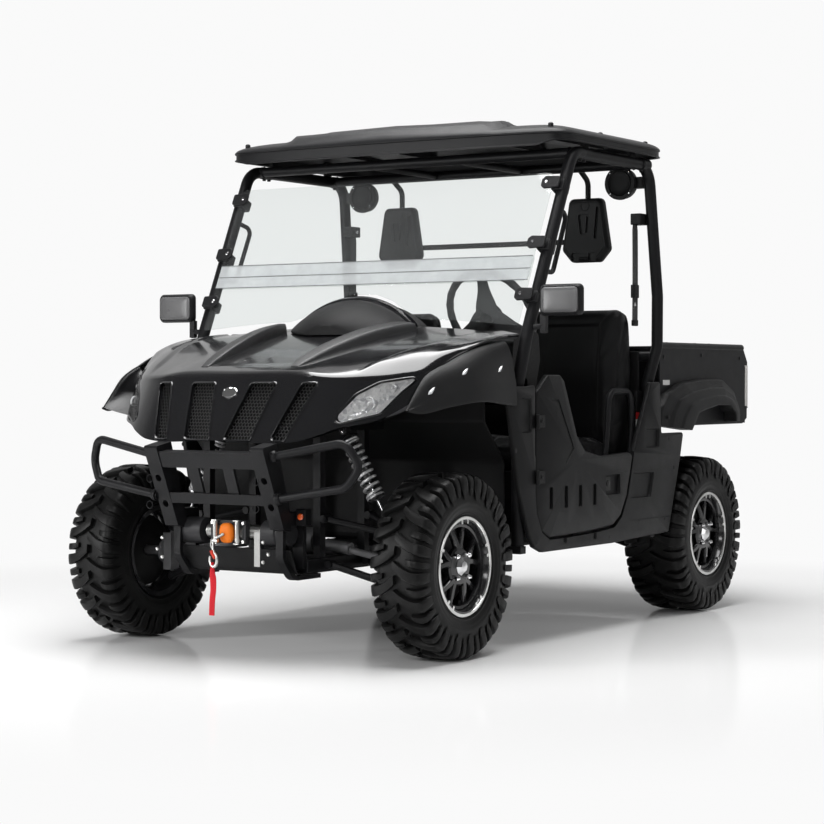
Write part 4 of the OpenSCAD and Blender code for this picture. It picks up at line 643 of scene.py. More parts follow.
# The cable lies on the drum in touching turns, one layer
n = 44
t = np.linspace(0, n, n * 18 + 1)
wound = WIND + np.stack([-0.117 + 0.234 * t / n, 0.0245 * np.cos(2 * math.pi * t), 0.0245 * np.sin(2 * math.pi * t)], -1)
lead = from_axle(rounded([[0, -309, 431], [0, -325, 428], [0, -345, 426], [-9, -368, 414]], 20, 6))
piece("winch_cable", [tube(wound, 0.0027, 6), tube(lead, 0.0027, 8)], cable_steel, "chassis", crease=60)
fair = []
for a, b in (((-75, -336, 452), (75, -330, 467)), ((-75, -336, 387), (75, -330, 400)), ((-75, -336, 400), (-60, -330, 452)),
        ((60, -336, 400), (75, -330, 452)), ((-75, -330, 387), (-68, -312, 467)), ((68, -330, 387), (75, -312, 467))):
    fair.append(block(from_axle(a), from_axle(b)))
piece("fairlead_frame", fair, winch_black, "chassis", crease=30, bevel=0.0012)
rollers = []
for x in (-47, 47):
    rollers.append(turned_on(from_axle([x, -346, 392]), from_axle([x, -346, 462]), [[0, 0.004], [0, 0.0085], [0.06, 0.0092],
        [0.94, 0.0092], [1, 0.0085], [1, 0.004]], 28))
    for z, z1 in ((386, 392), (462, 468)):
        rollers.append(turned_on(from_axle([x, -346, z]), from_axle([x, -346, z1]), [[0, 0.002], [0, 0.0058], [1, 0.0058], [1, 0.002]], 6))
        rollers.append(block(from_axle([x - 11, -356, z if z < 400 else z1 - 3]), from_axle([x + 11, -330, z + 3 if z < 400 else z1])))
for x in (-66, 66):
    for z in (395, 458):
        rollers.append(turned_on(from_axle([x, -342, z]), from_axle([x, -336, z]), [[0, 0.001], [0, 0.0062], [0.9, 0.0068], [1, 0.0068]], 6))
piece("fairlead_rollers", rollers, zinc, "chassis", crease=30)
# Rubber stopper: a thick disc, flattened at its sides, with a collar where the cable goes through it
a = np.linspace(0, 2 * math.pi, 49)[:-1]
rx = 0.0275 * np.sign(np.cos(a)) * np.abs(np.cos(a)) ** 0.75
rz = 0.0345 * np.sign(np.sin(a)) * np.abs(np.sin(a)) ** 0.75
rows = np.array([[-0.374, 0.18], [-0.374, 0.55], [-0.371, 0.88], [-0.366, 1.0], [-0.354, 1.0], [-0.350, 0.9], [-0.350, 0.2]])
disc = np.stack([0.004 + rows[:, 1:] * rx, np.broadcast_to(rows[:, :1] + AXLE, (7, 48)), 0.424 + rows[:, 1:] * rz], -1)
disc = disc + [0, 0.012, 0]
piece("cable_stopper", [skin(disc)], stopper_orange, "chassis", crease=40)
# Thimble and hook: the shank, an open C with a thickened throat, and the latch
shank = from_axle(rounded([[3, -366, 422], [-12, -376, 412], [-22, -379, 405]], 10, 5))
clevis = from_axle(rounded([[-20, -378, 411], [-29, -381, 398], [-27, -384, 366], [-22, -385, 352]], 12, 6))
t = np.linspace(0, 1, 40)
turn = np.radians(80 - 285 * t)
bow = from_axle([-25, -386, 334]) + np.stack([0.0155 * np.cos(turn), 0.001 * t, 0.024 * np.sin(turn)], -1)
hook = [tube(shank, 0.0052, 12), tube(clevis, 0.0050, 14), tube(bow, 0.0042 + 0.0022 * np.sin(math.pi * t) ** 0.7, 14),
    turned_on(from_axle([-34, -381, 399]), from_axle([-9, -381, 399]), [[0, 0.003], [0, 0.0065], [0.2, 0.007], [0.8, 0.007],
        [1, 0.0065], [1, 0.003]], 10), tube(from_axle(rounded([[-31, -388, 402], [-36, -388, 385], [-30, -388, 372]], 10, 6)), 0.0028, 8)]
piece("hook", hook, zinc, "chassis", crease=50)
latch = from_axle(rounded([[-33, -386, 364], [-26, -387, 352], [-18, -387, 338]], 8, 5))
piece("hook_latch", [tube(latch, np.linspace(0.0075, 0.0055, len(latch)), 12)], latch_red, "chassis", crease=40)
# Pull strap: red polyester webbing sewn in a loop through the hook; it hangs a little twisted
webbing_red = bpy.data.materials.new("webbing_red")
webbing_red.use_nodes = True
tree = webbing_red.node_tree
link = tree.links.new
shader = tree.nodes["Principled BSDF"]
shader.inputs["Roughness"].default_value = 0.7
shader.inputs["Specular IOR Level"].default_value = 0.15
place = node(tree, "ShaderNodeTexCoord").outputs["Object"]
weave = node(tree, "ShaderNodeTexWave", Scale=330.0, Distortion=0.6, Detail=1.0)
weave.bands_direction = "DIAGONAL"
link(place, weave.inputs["Vector"])
tone = node(tree, "ShaderNodeValToRGB")
tone.color_ramp.elements[0].color = (0.52, 0.015, 0.025, 1)
tone.color_ramp.elements[1].color = (0.80, 0.035, 0.045, 1)
link(weave.outputs["Fac"], tone.inputs["Fac"])
link(tone.outputs["Color"], shader.inputs["Base Color"])
bump = node(tree, "ShaderNodeBump", Strength=0.5, Distance=0.0006)
link(weave.outputs["Fac"], bump.inputs["Height"])
link(bump.outputs["Normal"], shader.inputs["Normal"])
t = np.linspace(0, 1, 60)
middle = eased([[0, -0.0290, -0.3885, 0.325], [0.12, -0.0285, -0.3900, 0.300], [0.3, -0.0240, -0.3905, 0.265], [0.5, -0.0235, -0.3900, 0.230],
    [0.75, -0.0290, -0.3885, 0.190], [1, -0.0310, -0.3880, 0.1425]], t)
half = np.interp(t, [0, 0.1, 0.25, 1], [0.0045, 0.0065, 0.0115, 0.012])
twist = np.interp(t, [0, 0.2, 0.5, 1], [0.9, 0.25, 0.05, -0.08])
across = np.linspace(-1, 1, 9)
cup = 0.0012 * (across ** 2)[None] * np.interp(t, [0, 0.3, 1], [2.5, 1, 0.2])[:, None]
strap = middle[:, None] + half[:, None, None] * across[None, :, None] * np.stack([np.cos(twist), np.sin(twist), twist * 0], -1)[:, None]
strap[..., 1] += cup + AXLE
thick = np.stack([0 * strap[..., 0], np.full_like(strap[..., 0], 0.0009), 0 * strap[..., 0]], -1)
ring = np.concatenate([strap - thick, (strap + thick)[:, ::-1]], 1)
web = piece("pull_strap_webbing", [skin(ring)], webbing_red, "chassis", replaces=["pull_strap"], crease=50)
# A plain pale tag riveted to the guard's leg, a small orange reflector on a bracket, and plated bolts
tag_pale = finish("tag_pale", (0.50, 0.50, 0.49), 0.45, grain=0.1, spread=0.2)
tag = [block(from_axle([178, -425.5, 322]), from_axle([202, -423.5, 438]))]
piece("guard_tag", tag, tag_pale, "chassis", crease=30, bevel=0.0008)
piece("reflector_bracket", [block(from_axle([258, -298, 455]), from_axle([298, -262, 512]))], powder_coat, "chassis",
    crease=30, bevel=0.002)
reflector = finish("reflector_orange", (0.75, 0.11, 0.02), 0.2, grain=0.3, pitch=300.0, coat=0.6)
piece("orange_reflector", [turned_on(from_axle([279, -297, 486]), from_axle([279, -304, 486]), [[0, 0.011], [0.7, 0.011], [1, 0.007]], 20)], reflector,
    "chassis", crease=30)
bolts = []
for x, z in ((216, 405), (238, 365), (216, 338)):
    bolts.append(turned_on(from_axle([x, -424, z]), from_axle([x, -431, z]), [[0, 0.0068], [0.7, 0.0068], [1, 0.004]], 6))
piece("guard_bolts", mirror(bolts), zinc, "chassis", crease=30)

# ---------------------------------------------------------------- Cab tub and dash
# The tub is one pressed and folded sheet, sprayed with textured black; the dash is moulded plastic screwed to it.
# A dull bubble over the instruments bulges through the hood's rear edge, with a glossy arch behind it.
gloss_black = finish("gloss_black", (0.008, 0.008, 0.009), 0.15, grain=0.015, pitch=260.0, coat=0.5, spread=0.1)
dress(moulded_black, "cab_tub", "seat_base", edge=0.002)
NOSE_PLAN = [[0, -.306], [.1, -.303], [.2, -.297], [.3, -.288], [.36, -.275], [.43, -.247], [.52, -.185], [.58, -.120],
    [.62, -.075], [.65, -.020]]
NOSE_LEAN = [[.7, -.120], [.742, -.1], [.8, -.072], [.87, -.036], [.939, 0], [.962, .012], [.985, .034]]
HOOD_LIP = [[0, .975], [.25, .972], [.36, .956], [.45, .952], [.52, .956], [.6, .968], [.645, .978]]
HOOD_REAR, HALF = 0.452, 0.645


def curve(rows, t):
    return eased(rows, t)[..., 0]


def nose_y(x, z):
    """How far forward the nose's skin stands: its plan curve at x and its lean at z."""
    return curve(NOSE_PLAN, np.abs(x)) + curve(NOSE_LEAN, z)


def hood_z(x, y):
    """Height of the hood: from its lip to the scuttle, straight along the middle and arched at the sides."""
    s = np.clip(np.abs(x) / HALF, 0, 1)
    lip = curve(HOOD_LIP, np.abs(x))
    front = nose_y(x, lip)
    u = np.clip((y - front) / (HOOD_REAR - front), 0, 1)
    part = (1 - s * s) * u + s * s * np.sin(math.pi / 2 * u ** 0.7)
    return lip + (1.150 - 0.042 * s * s - lip) * part + 0.014 * (1 - s * s) * np.sin(math.pi * u)


def step(t, a, b):
    """Smooth step from 0 at a to 1 at b."""
    k = np.clip((t - a) / (b - a), 0, 1)
    return k * k * (3 - 2 * k)


def dome_rows(y, lift=0.0, part=1.0):
    """Sections of the bubble: its arch over the hood, from +x to -x, then back underneath."""
    y = np.asarray(y)[:, None]
    size = np.where(y < HOOD_REAR, np.sqrt(np.clip(1 - ((HOOD_REAR - y) / 0.22) ** 2, 0.0004, 1)), 1 - 0.2 * (y - HOOD_REAR) / 0.15)
    i = np.linspace(1, -1, 61)[None] * part
    x = 0.262 * size * i
    top = hood_z(x, y) + 0.004 + lift + 0.098 * size * (1 - i * i) ** 0.9
    low = np.where(y > HOOD_REAR + 0.003, 1.092, hood_z(x, y) + 0.001)
    low = np.minimum(low, top - 0.002)
    grid = lambda z: np.stack(np.broadcast_arrays(x, y + AXLE, z), -1)
    return np.concatenate([grid(top), grid(low)[:, ::-1]], 1)


dash_plan = np.array([[300, 945], [446, 1000], [462, 1090], [560, 1128], [640, 1118], [652, 1020], [600, 860], [560, 850],
    [560, 960], [400, 930]]) / 1000
parts = [prism(rounded(dash_plan, 0.018, 5, closed=True), [-0.668, AXLE, 0], [0, 1, 0], [0, 0, 1], (0, 1.336))]
v = np.linspace(0.02, 1, 26)
parts.append(skin(dome_rows(np.concatenate([0.456 - 0.2178 * (1 - v), [0.46, 0.48, 0.51, 0.54, 0.57, 0.60]]))))
COLUMN = from_axle([400, 755, 1192])
SHAFT = unit([0, 285, 147])
parts.append(turned_on(from_axle([400, 470, 1045]) - SHAFT * 0.06, COLUMN - SHAFT * 0.0383, [[0, 0.028], [0.35, 0.030], [0.36, 0.034],
    [0.80, 0.036], [0.82, 0.030], [0.98, 0.028], [1, 0.022]], 32))
parts += mirror([block(from_axle([608, 263.3, 920]), from_axle([648, 420, 940]))])
# Glove box lid, a grab bar's two feet, a blank switch row and a round instrument face turned to the driver
parts.append(block(from_axle([-560, 598, 890]), from_axle([-220, 640, 1000])))
piece("dash_moulding", parts, moulded_black, "chassis", replaces=["dash"], crease=35, bevel=0.002)
arch = dome_rows(np.array([0.418, 0.422, 0.432, 0.442, 0.452, 0.462, 0.468]), part=1.0)
lift = np.array([0, 0.006, 0.0085, 0.006, 0.0085, 0.006, 0])[:, None]
arch[:, :61, 2] += lift
piece("dash_arch", [skin(arch)], gloss_black, "chassis", crease=25)
trim = [block(from_axle([40 * k + 120, 644, 1075]), from_axle([40 * k + 146, 650, 1100])) for k in range(4)]
for gx, gz, r in ((0.0, 1.145, 0.042), (-0.10, 1.135, 0.026)):
    at = np.array([gx, 0.600 + AXLE, gz])
    trim.append(turned_on(at, at + [0, 0.010, -0.002], [[0, 0.6 * r], [0, r], [1, r], [1, 0.9 * r], [0.5, 0.88 * r], [0.4, 0.1 * r]], 40))
piece("dash_switches", trim, gloss_black, "chassis", crease=30, bevel=0.001)

# ---------------------------------------------------------------- Steering wheel
# Grey rubber foamed over a steel ring; a wide padded hub in one piece with three tapering spokes.
grip = finish("wheel_rubber", (0.085, 0.085, 0.088), 0.52, grain=0.35, pitch=1100.0, pores=True, spread=0.08)
ACROSS, DOWN = np.array([1.0, 0, 0]), np.array([0, SHAFT[2], -SHAFT[1]])


def wheel_point(x, y, z):
    """Point on the steering wheel: across, towards the driver's lap, and up the column."""
    x, y, z = np.broadcast_arrays(x, y, z)
    return COLUMN + x[..., None] * ACROSS + y[..., None] * DOWN + z[..., None] * SHAFT


t = np.linspace(0, 2 * math.pi, 97)[:-1]
grips = 0.014 + 0.0008 * np.cos(24 * t) * (np.abs(np.cos(t)) > 0.55)
parts = [tube(wheel_point(0.175 * np.cos(t), 0.175 * np.sin(t), 0 * t), grips, 20, closed=True)]
for turn in (-90, 30, 150):
    rows = eased([[0, 0.0, 0.050, -0.026, 0.022], [0.25, 0.045, 0.044, -0.019, 0.019], [0.6, 0.105, 0.026, -0.008, 0.012],
        [0.85, 0.150, 0.021, -0.002, 0.010], [1, 0.168, 0.024, 0.0, 0.010]], np.linspace(0, 1, 16))
    a = np.linspace(0, 2 * math.pi, 25)[:-1]
    sx = np.sign(np.cos(a)) * np.abs(np.cos(a)) ** 0.6
    sz = np.sign(np.sin(a)) * np.abs(np.sin(a)) ** 0.6
    r, w, z, h = [c[:, None] for c in rows.T]
    ca, sa = math.cos(math.radians(turn)), math.sin(math.radians(turn))
    parts.append(skin(wheel_point(r * ca - w * sx * sa, r * sa + w * sx * ca, z + h * sz * 0.5)))
parts.append(turned_on(wheel_point(0.0, 0.0, -0.037), wheel_point(0.0, 0.0, 0.002), [[0, 0.020], [0, 0.024], [0.4, 0.028], [0.5, 0.046], [0.75, 0.056],
    [0.92, 0.052], [0.98, 0.044], [1, 0.02]], 48))
piece("steering_wheel_pad", parts, grip, "steering_wheel", replaces=["steering_wheel"], crease=50)

# ---------------------------------------------------------------- Seats
# Moulded foam under black vinyl that is stretched over a pan: a cushion and a shaped back for each person, with
# a welt sewn round the front edge and two stitched channels. The vinyl is crowned by the foam's pressure.
vinyl = finish("vinyl", (0.0075, 0.0075, 0.008), 0.36, grain=0.5, pitch=620.0, pores=True, spread=0.12)
CUSHION = rounded([[1250, 603], [1252, 694], [1180, 714], [950, 728], [912, 696], [921, 603]], 34, 7, closed=True) / 1000
BACK = rounded([[1393, 603], [1417, 1000], [1404, 1217], [1372, 1240], [1336, 1219], [1290, 1000], [1272, 770], [1283, 603]], 34, 7,
    closed=True) / 1000


def pad_rings(outline, half, nip, ends=0.80):
    """Pad from a side outline (y, z): rings across the seat that draw in at both ends. nip, the dip of the front
    between the side bolsters, is not used."""
    rows = [[-half, ends], [-half * 0.985, ends + 0.08], [-half * 0.95, 0.945], [-half * 0.88, 0.985]] + [
        [x, 1.0] for x in np.linspace(-half * 0.8, half * 0.8, 11)] + [
        [half * 0.88, 0.985], [half * 0.95, 0.945], [half * 0.985, ends + 0.08], [half, ends]]
    rows = np.array(rows)
    c = outline.mean(0)
    grid = c + (outline - c) * rows[:, 1][:, None, None]
    return np.stack([np.broadcast_to(rows[:, :1], grid.shape[:2]), grid[..., 0] + AXLE, grid[..., 1]], -1)


def puffed(name, shape, pinned, cap, at_x):
    """The vinyl over a pad: remeshed, blown up by cloth pressure for 20 frames, and capped."""
    pad = piece(name, [skin(shape)], vinyl, None, crease=180)
    even = pad.modifiers.new("even", "REMESH")
    even.mode, even.voxel_size = "VOXEL", 0.0085
    bpy.context.view_layer.update()
    fresh = bpy.data.meshes.new_from_object(pad.evaluated_get(bpy.context.evaluated_depsgraph_get()))
    pad.modifiers.clear()
    pad.data = fresh
    count = len(fresh.vertices)
    start = np.empty(count * 3)
    fresh.vertices.foreach_get("co", start)
    start = start.reshape(-1, 3)
    group = pad.vertex_groups.new(name="held")
    group.add([int(i) for i in np.nonzero(pinned(start))[0]], 1.0, "REPLACE")
    cloth = pad.modifiers.new("cloth", "CLOTH")
    cloth.settings.vertex_group_mass = "held"
    cloth.settings.use_pressure = True
    cloth.settings.uniform_pressure_force = 4.0
    cloth.settings.quality = 5
    cloth.settings.tension_stiffness = cloth.settings.compression_stiffness = 22
    cloth.settings.effector_weights.gravity = 0
    cloth.collision_settings.use_collision = False
    for f in range(1, 21):
        scene.frame_set(f)
    blown = pad.evaluated_get(bpy.context.evaluated_depsgraph_get())
    end = np.empty(count * 3)
    blown.data.vertices.foreach_get("co", end)
    move = end.reshape(-1, 3) - start
    far = np.linalg.norm(move, axis=1, keepdims=True)
    start = start + move * np.minimum(1, cap / np.maximum(far, 1e-9))
    pad.modifiers.clear()
    pad.vertex_groups.clear()
    scene.frame_set(1)
    return pad, start


def sewn(points, front, lines, deep):
    """Draws stitched lines into a pad: a point near a line of the front face sinks by deep."""
    sink = np.zeros(len(points))
    for a, b in lines:
        a, b = np.array(a), np.array(b)
        q = points[:, [0, 2]] if front == "y" else points[:, [0, 1]]
        t = np.clip(((q - a) @ (b - a)) / ((b - a) @ (b - a)), 0, 1)
        far = np.linalg.norm(q - a - t[:, None] * (b - a), axis=1)
        sink = np.maximum(sink, np.exp(-(far / 0.0075) ** 2))
    return sink * deep


SEAT_X = 0.434
seat_shapes = {}
for name, shape, pinned, cap in (
        ("cushion", pad_rings(CUSHION, 0.218, 0.0), lambda p: p[:, 2] < 0.612, 0.012),
        ("back", pad_rings(BACK, 0.216, 0.0), lambda p: (p[:, 2] < 0.615) | (p[:, 1] > 1.40 + AXLE), 0.011)):
    pad, start = puffed("seat_" + name, shape, pinned, cap, SEAT_X)
    if name == "back":
        front = start[:, 1] < 1.345 + AXLE
        lines = [((-0.135, 0.74), (-0.118, 1.17)), ((0.135, 0.74), (0.118, 1.17)), ((-0.118, 1.17), (0.118, 1.17))]
        start[:, 1] += sewn(start, "y", lines, 0.007) * front
        # The middle of the back is hollowed between its bolsters
        hollow = step(0.16 - np.abs(start[:, 0]), 0, 0.06) * step(start[:, 2], 0.66, 0.80) * step(1.20 - start[:, 2], 0, 0.1)
        start[:, 1] += 0.012 * hollow * front
    else:
        up = start[:, 2] > 0.68
        lines = [((-0.140, 0.95 + AXLE), (-0.140, 1.24 + AXLE)), ((0.140, 0.95 + AXLE), (0.140, 1.24 + AXLE))]
        start[:, 2] -= sewn(start, "z", lines, 0.007) * up
        hollow = step(0.17 - np.abs(start[:, 0]), 0, 0.07) * step(start[:, 1] - AXLE, 0.93, 1.02)
        start[:, 2] -= 0.012 * hollow * up
    seat_shapes[name] = (pad, start)
for name, (pad, start) in seat_shapes.items():
    for hand, side in (("left", 1), ("right", -1)):
        mesh = pad.data.copy()
        mesh.vertices.foreach_set("co", (start + [side * SEAT_X, 0, 0]).ravel())
        mesh.materials.clear()
        mesh.materials.append(vinyl)
        mesh.shade_smooth()
        seat = bpy.data.objects.new(f"seat_{name}_{hand}", mesh)
        scene.collection.objects.link(seat)
        sub = seat.modifiers.new("rounded", "SUBSURF")
        sub.levels = sub.render_levels = 1
        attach(seat, "chassis")
    bpy.data.objects.remove(pad)
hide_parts("seats")

# ---------------------------------------------------------------- Headrests
# Hard moulded plates with a rim and pressed recesses, each on a bent steel stem bolted to the rear roof tube,
# with a tie bar between them.
plate_black = finish("plate_black", (0.011, 0.011, 0.0115), 0.42, grain=0.3, pitch=1200.0, pores=True, spread=0.1)
HEAD = rounded([[-.073, 1.672], [.073, 1.672], [.106, 1.465], [.063, 1.417], [-.063, 1.417], [-.106, 1.465]], 0.022, 7, closed=True)
middle = np.array([0, 1.550])
for hand, side in (("left", 1), ("right", -1)):
    rows = []
    for y, k in ((1.450, 0.955), (1.4465, 0.985), (1.442, 1.0), (1.424, 1.0), (1.4165, 0.985), (1.412, 0.955), (1.4065, 0.925), (1.405, 0.90),
            (1.4055, 0.875), (1.4075, 0.855), (1.408, 0.82), (1.408, 0.4), (1.408, 0.05)):
        q = middle + (HEAD - middle) * k
        rows.append(np.stack([side * 0.443 + q[:, 0], np.full(len(q), y + AXLE), q[:, 1]], -1))
    rest = piece(f"headrest_{hand}", [skin(np.stack(rows))], plate_black, "chassis", crease=35)
    cuts = []
    for outline, deep in (([[-.030, 1.607], [.020, 1.607], [.012, 1.528], [-.020, 1.528]], .012),
            ([[.052, 1.640], [.066, 1.632], [.082, 1.510], [.040, 1.510]], .014),
            ([[-.060, 1.455], [-.022, 1.455], [-.026, 1.420], [-.056, 1.420]], .010),
            ([[.016, 1.455], [.054, 1.455], [.050, 1.420], [.020, 1.420]], .010)):
        q = rounded(outline, 0.006, 4, closed=True)
        cuts.append(prism(q, [side * 0.443, 1.405 + deep + AXLE, 0], [1, 0, 0], [0, 0, 1], (0, 0.06)))
    carve_parts = cuts
    tool = piece("cutter", cuts, plate_black, None, crease=30)
    cut = rest.modifiers.new("cut", "BOOLEAN")
    cut.object, cut.operation, cut.solver = tool, "DIFFERENCE", "EXACT"
    bpy.context.view_layer.update()
    fresh = bpy.data.meshes.new_from_object(rest.evaluated_get(bpy.context.evaluated_depsgraph_get()))
    rest.modifiers.clear()
    rest.data = fresh
    bpy.data.objects.remove(tool)
    fresh.shade_smooth()
    fresh.set_sharp_from_angle(angle=math.radians(32))
    soft = rest.modifiers.new("edge", "BEVEL")
    soft.width, soft.segments, soft.limit_method, soft.angle_limit = 0.0012, 2, "ANGLE", math.radians(45)
stems = []
t = np.linspace(0, 2 * math.pi, 33)[:-1]
for side in (1, -1):
    x = side * 443
    stems.append(tube(from_axle(rounded([[x, 1438, 1640], [x, 1438, 1740], [x, 1360, 1786], [x, 1349.8, 1786]], 40, 10)), 0.011, 18))
    ring = from_axle([x + 2, 1407.5, 1641]) + np.stack([0.0185 * np.cos(t), t * 0, 0.0185 * np.sin(t)], -1)
    stems.append(tube(ring, 0.0014, 8, closed=True))
    raised = rounded([[-.016, 1.600], [.008, 1.600], [.003, 1.535], [-.011, 1.535]], 0.004, 4, closed=True)
    stems.append(prism(raised, [side * 0.443, 1.413 + AXLE, 0], [1, 0, 0], [0, 0, 1], (-0.004, 0.004)))
stems.append(tube(from_axle([[-443, 1456, 1503], [443, 1456, 1503]]), 0.011, 18))
stem_piece = piece("headrest_stems", stems, plate_black, "chassis", crease=35)
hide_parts("headrests")

# ---------------------------------------------------------------- Speakers, belts and mirrors
# Round marine speakers in moulded cups, strapped to the rear posts; retractor belts of black webbing with a
# chromed tongue; folding mirrors on the front posts, the housing's back a smooth satin shell.
parts, cones, screws = [], [], []
for side in (1, -1):
    at = from_axle([side * 612, 1382, 1722])
    parts.append(turned_on(at, at + [0, 0.058, 0], [[0.16, 0.020], [0.15, 0.034], [0.06, 0.046], [0.10, 0.048], [0.0, 0.052], [0, 0.064], [0.03, 0.066],
        [0.22, 0.066], [0.26, 0.062], [0.7, 0.060], [0.92, 0.052], [1.0, 0.040], [1.0, 0.01]], 48))
    lo, hi = sorted([side * 662, side * 701.2])
    parts.append(block(from_axle([lo, 1398, 1700]), from_axle([hi, 1436, 1744])))
    cones.append(turned_on(at + [0, 0.018, 0], at + [0, 0.004, 0], [[0, 0.050], [0.2, 0.047], [-0.6, 0.026], [-0.6, 0.022], [0.1, 0.017], [0.4, 0.010],
        [0.5, 0.002]], 48))
    for k in range(4):
        a = math.radians(45 + 90 * k)
        spot = at + [0.058 * math.cos(a), 0, 0.058 * math.sin(a)]
        screws.append(turned_on(spot, spot - [0, 0.002, 0], [[0, 0.0035], [0.7, 0.0032], [1, 0.001]], 12))
piece("speaker_cups", parts, plate_black, "chassis", replaces=["speakers"], crease=35)
cone_look = finish("speaker_cone", (0.03, 0.03, 0.03), 0.3, grain=0.1, spread=0.1)
piece("speaker_cones", cones, cone_look, "chassis", crease=35)
piece("speaker_screws", screws, bright_steel, "chassis", crease=35)
webbing = finish("belt_webbing", (0.022, 0.022, 0.022), 0.7, grain=0.5, pitch=800.0, sheen=0.2, spread=0.1)
for hand, side in (("left", 1), ("right", -1)):
    t = np.linspace(0, 1, 50)[:, None]
    e = np.linspace(-1, 1, 7)[None]
    mid_x = 0.669 + 0.0012 * np.sin(math.pi * t)
    wy = 1.404 + 0.0225 * e * np.interp(t, [0, 0.06, 0.94, 1], [0.7, 1, 1, 0.8])
    strap = np.stack(np.broadcast_arrays(side * (mid_x + 0.0006 * e * e), wy + AXLE, 1.162 + 0.397 * t), -1)
    lean = np.array([side * 0.0007, 0, 0])
    belt = piece(f"seat_belt_{hand}", [skin(np.concatenate([strap - lean, (strap + lean)[:, ::-1]], 1))], webbing, "chassis",
        crease=60)
    if side == 1:
        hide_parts("seat_belts")
fittings, tongues = [], []
fittings.append(block(from_axle([660.4, 1380, 1556]), from_axle([706, 1446, 1600])))
fittings.append(block(from_axle([661, 1382, 1270]), from_axle([678, 1427, 1322])))
fittings.append(block(from_axle([663, 1384, 1160]), from_axle([676, 1424, 1184])))
tongues.append(block(from_axle([667.5, 1390, 1238]), from_axle([670.5, 1419, 1274])))
tongues.append(turned_on(from_axle([660, 1413, 1578]), from_axle([655, 1413, 1578]), [[0, 0.009], [0.8, 0.009], [1, 0.005]], 6))
piece("belt_fittings", mirror(fittings), plate_black, "chassis", crease=30, bevel=0.004)
piece("belt_tongues", mirror(tongues), bright_steel, "chassis", crease=30, bevel=0.0008)
# Mirror: housing, its smooth back panel, the reflecting face behind, and the folding arm
shell, panel, glass_face, arm = [], [], [], []


def plate_rows(rows, side):
    """Rounded oblong drawn in by each row's amount: (y, half width, half height, corner)."""
    made = []
    for y, w, h, c in rows:
        q = rounded([[-w, -h], [w, -h], [w, h], [-w, h]], c, 8, closed=True)
        made.append(np.stack([side * (863 + q[:, 0]), np.full(len(q), float(y)), 1230 + q[:, 1]], -1))
    return from_axle(np.stack(made))


for side in (1, -1):
    shell.append(skin(plate_rows([(469, 79, 50, 15), (469, 84, 55, 18), (466, 85, 56, 19), (455, 84.5, 55.5, 19), (446, 80, 51, 18), (443, 77, 48, 17),
        (444.5, 74, 45, 16), (445, 40, 20, 8)], side)))
    panel.append(skin(plate_rows([(446, 73.6, 44.6, 16), (441, 73.4, 44.4, 16), (438, 69, 41, 15), (436.2, 56, 32, 13), (435.3, 30, 16, 8), (435.1, 6, 4, 2)], side)))
    glass_face.append(skin(plate_rows([(468.5, 76, 47, 14), (469.6, 75, 46, 13), (469.6, 20, 12, 5)], side)))
    arm.append(tube(from_axle(np.array([[side * 752.5, 459, 1135], [side * 775, 461, 1137], [side * 790, 465, 1146], [side * 790, 465, 1186]])), 0.0100, 18))
    arm.append(turned_on(from_axle([side * 789, 465, 1112]), from_axle([side * 789, 465, 1128]), [[0, 0.006], [0.1, 0.0105], [0.9, 0.0105], [1, 0.006]], 20))
    arm.append(block(from_axle([min(side * 778, side * 800), 455, 1114]), from_axle([max(side * 778, side * 800), 475, 1180])))
mirror_shell = finish("mirror_shell", (0.014, 0.014, 0.015), 0.40, grain=0.2, pitch=1100.0, pores=True)
mirror_back = finish("mirror_back", (0.115, 0.115, 0.117), 0.30, grain=0.12, pitch=900.0, spread=0.08)
silvered = finish("silvered_glass", (0.85, 0.86, 0.87), 0.02, metal=1.0, spread=0.01)
piece("mirror_housings", shell + arm, mirror_shell, "chassis", replaces=["mirrors"], crease=35)
piece("mirror_backs", panel, mirror_back, "chassis", crease=50)
piece("mirror_glass", glass_face, silvered, "chassis", crease=35)

# ---------------------------------------------------------------- Nose and hood
# Injection moulded plastic skins, gloss black from the mould, 3 mm thick with turned edges. The hood lies on the
# nose and on the flares; push clips and two latches hold it. The nose has four slots with walls that run inwards.
NOSE_FOOT = [[0, .742], [.32, .742], [.4, .768], [.44, .786], [.54, .812], [.6, .856], [.645, .9]]
WING_X = [[-.227, .655], [-.114, .655], [-.007, .668], [.092, .680], [.190, .690], [.330, .700], [.452, .700]]
WING_Z = [[-.227, .852], [-.160, .920], [-.114, .962], [-.050, .992], [-.007, 1.006], [.092, 1.042], [.190, 1.068],
    [.330, 1.090], [.452, 1.108]]
RIB = [[-.218, .194, .003, .016], [-.170, .198, .014, .026], [-.080, .210, .026, .033], [.040, .228, .035, .037],
    [.170, .250, .040, .038], [.300, .276, .038, .037], [.356, .288, .032, .034]]
LAMP = [[.439, .803], [.428, .826], [.470, .897], [.524, .937], [.588, .952], [.608, .954], [.578, .909], [.544, .838]]


def closed_shell(outer, inner):
    """Thin solid between two grids of points of the same shape."""
    rows, cols, _ = outer.shape
    n = rows * cols
    i, j = np.meshgrid(np.arange(rows - 1), np.arange(cols - 1), indexing="ij")
    a = (i * cols + j).ravel()
    top = np.stack([a, a + 1, a + cols + 1, a + cols], -1)
    rim = np.concatenate([np.arange(cols), np.arange(1, rows) * cols + cols - 1,
        (rows - 1) * cols + np.arange(cols - 2, -1, -1), np.arange(rows - 2, 0, -1) * cols])
    nxt = np.roll(rim, -1)
    return np.concatenate([outer.reshape(-1, 3), inner.reshape(-1, 3)]), [top, top[:, ::-1] + n,
        np.stack([rim, rim + n, nxt + n, nxt], -1)]


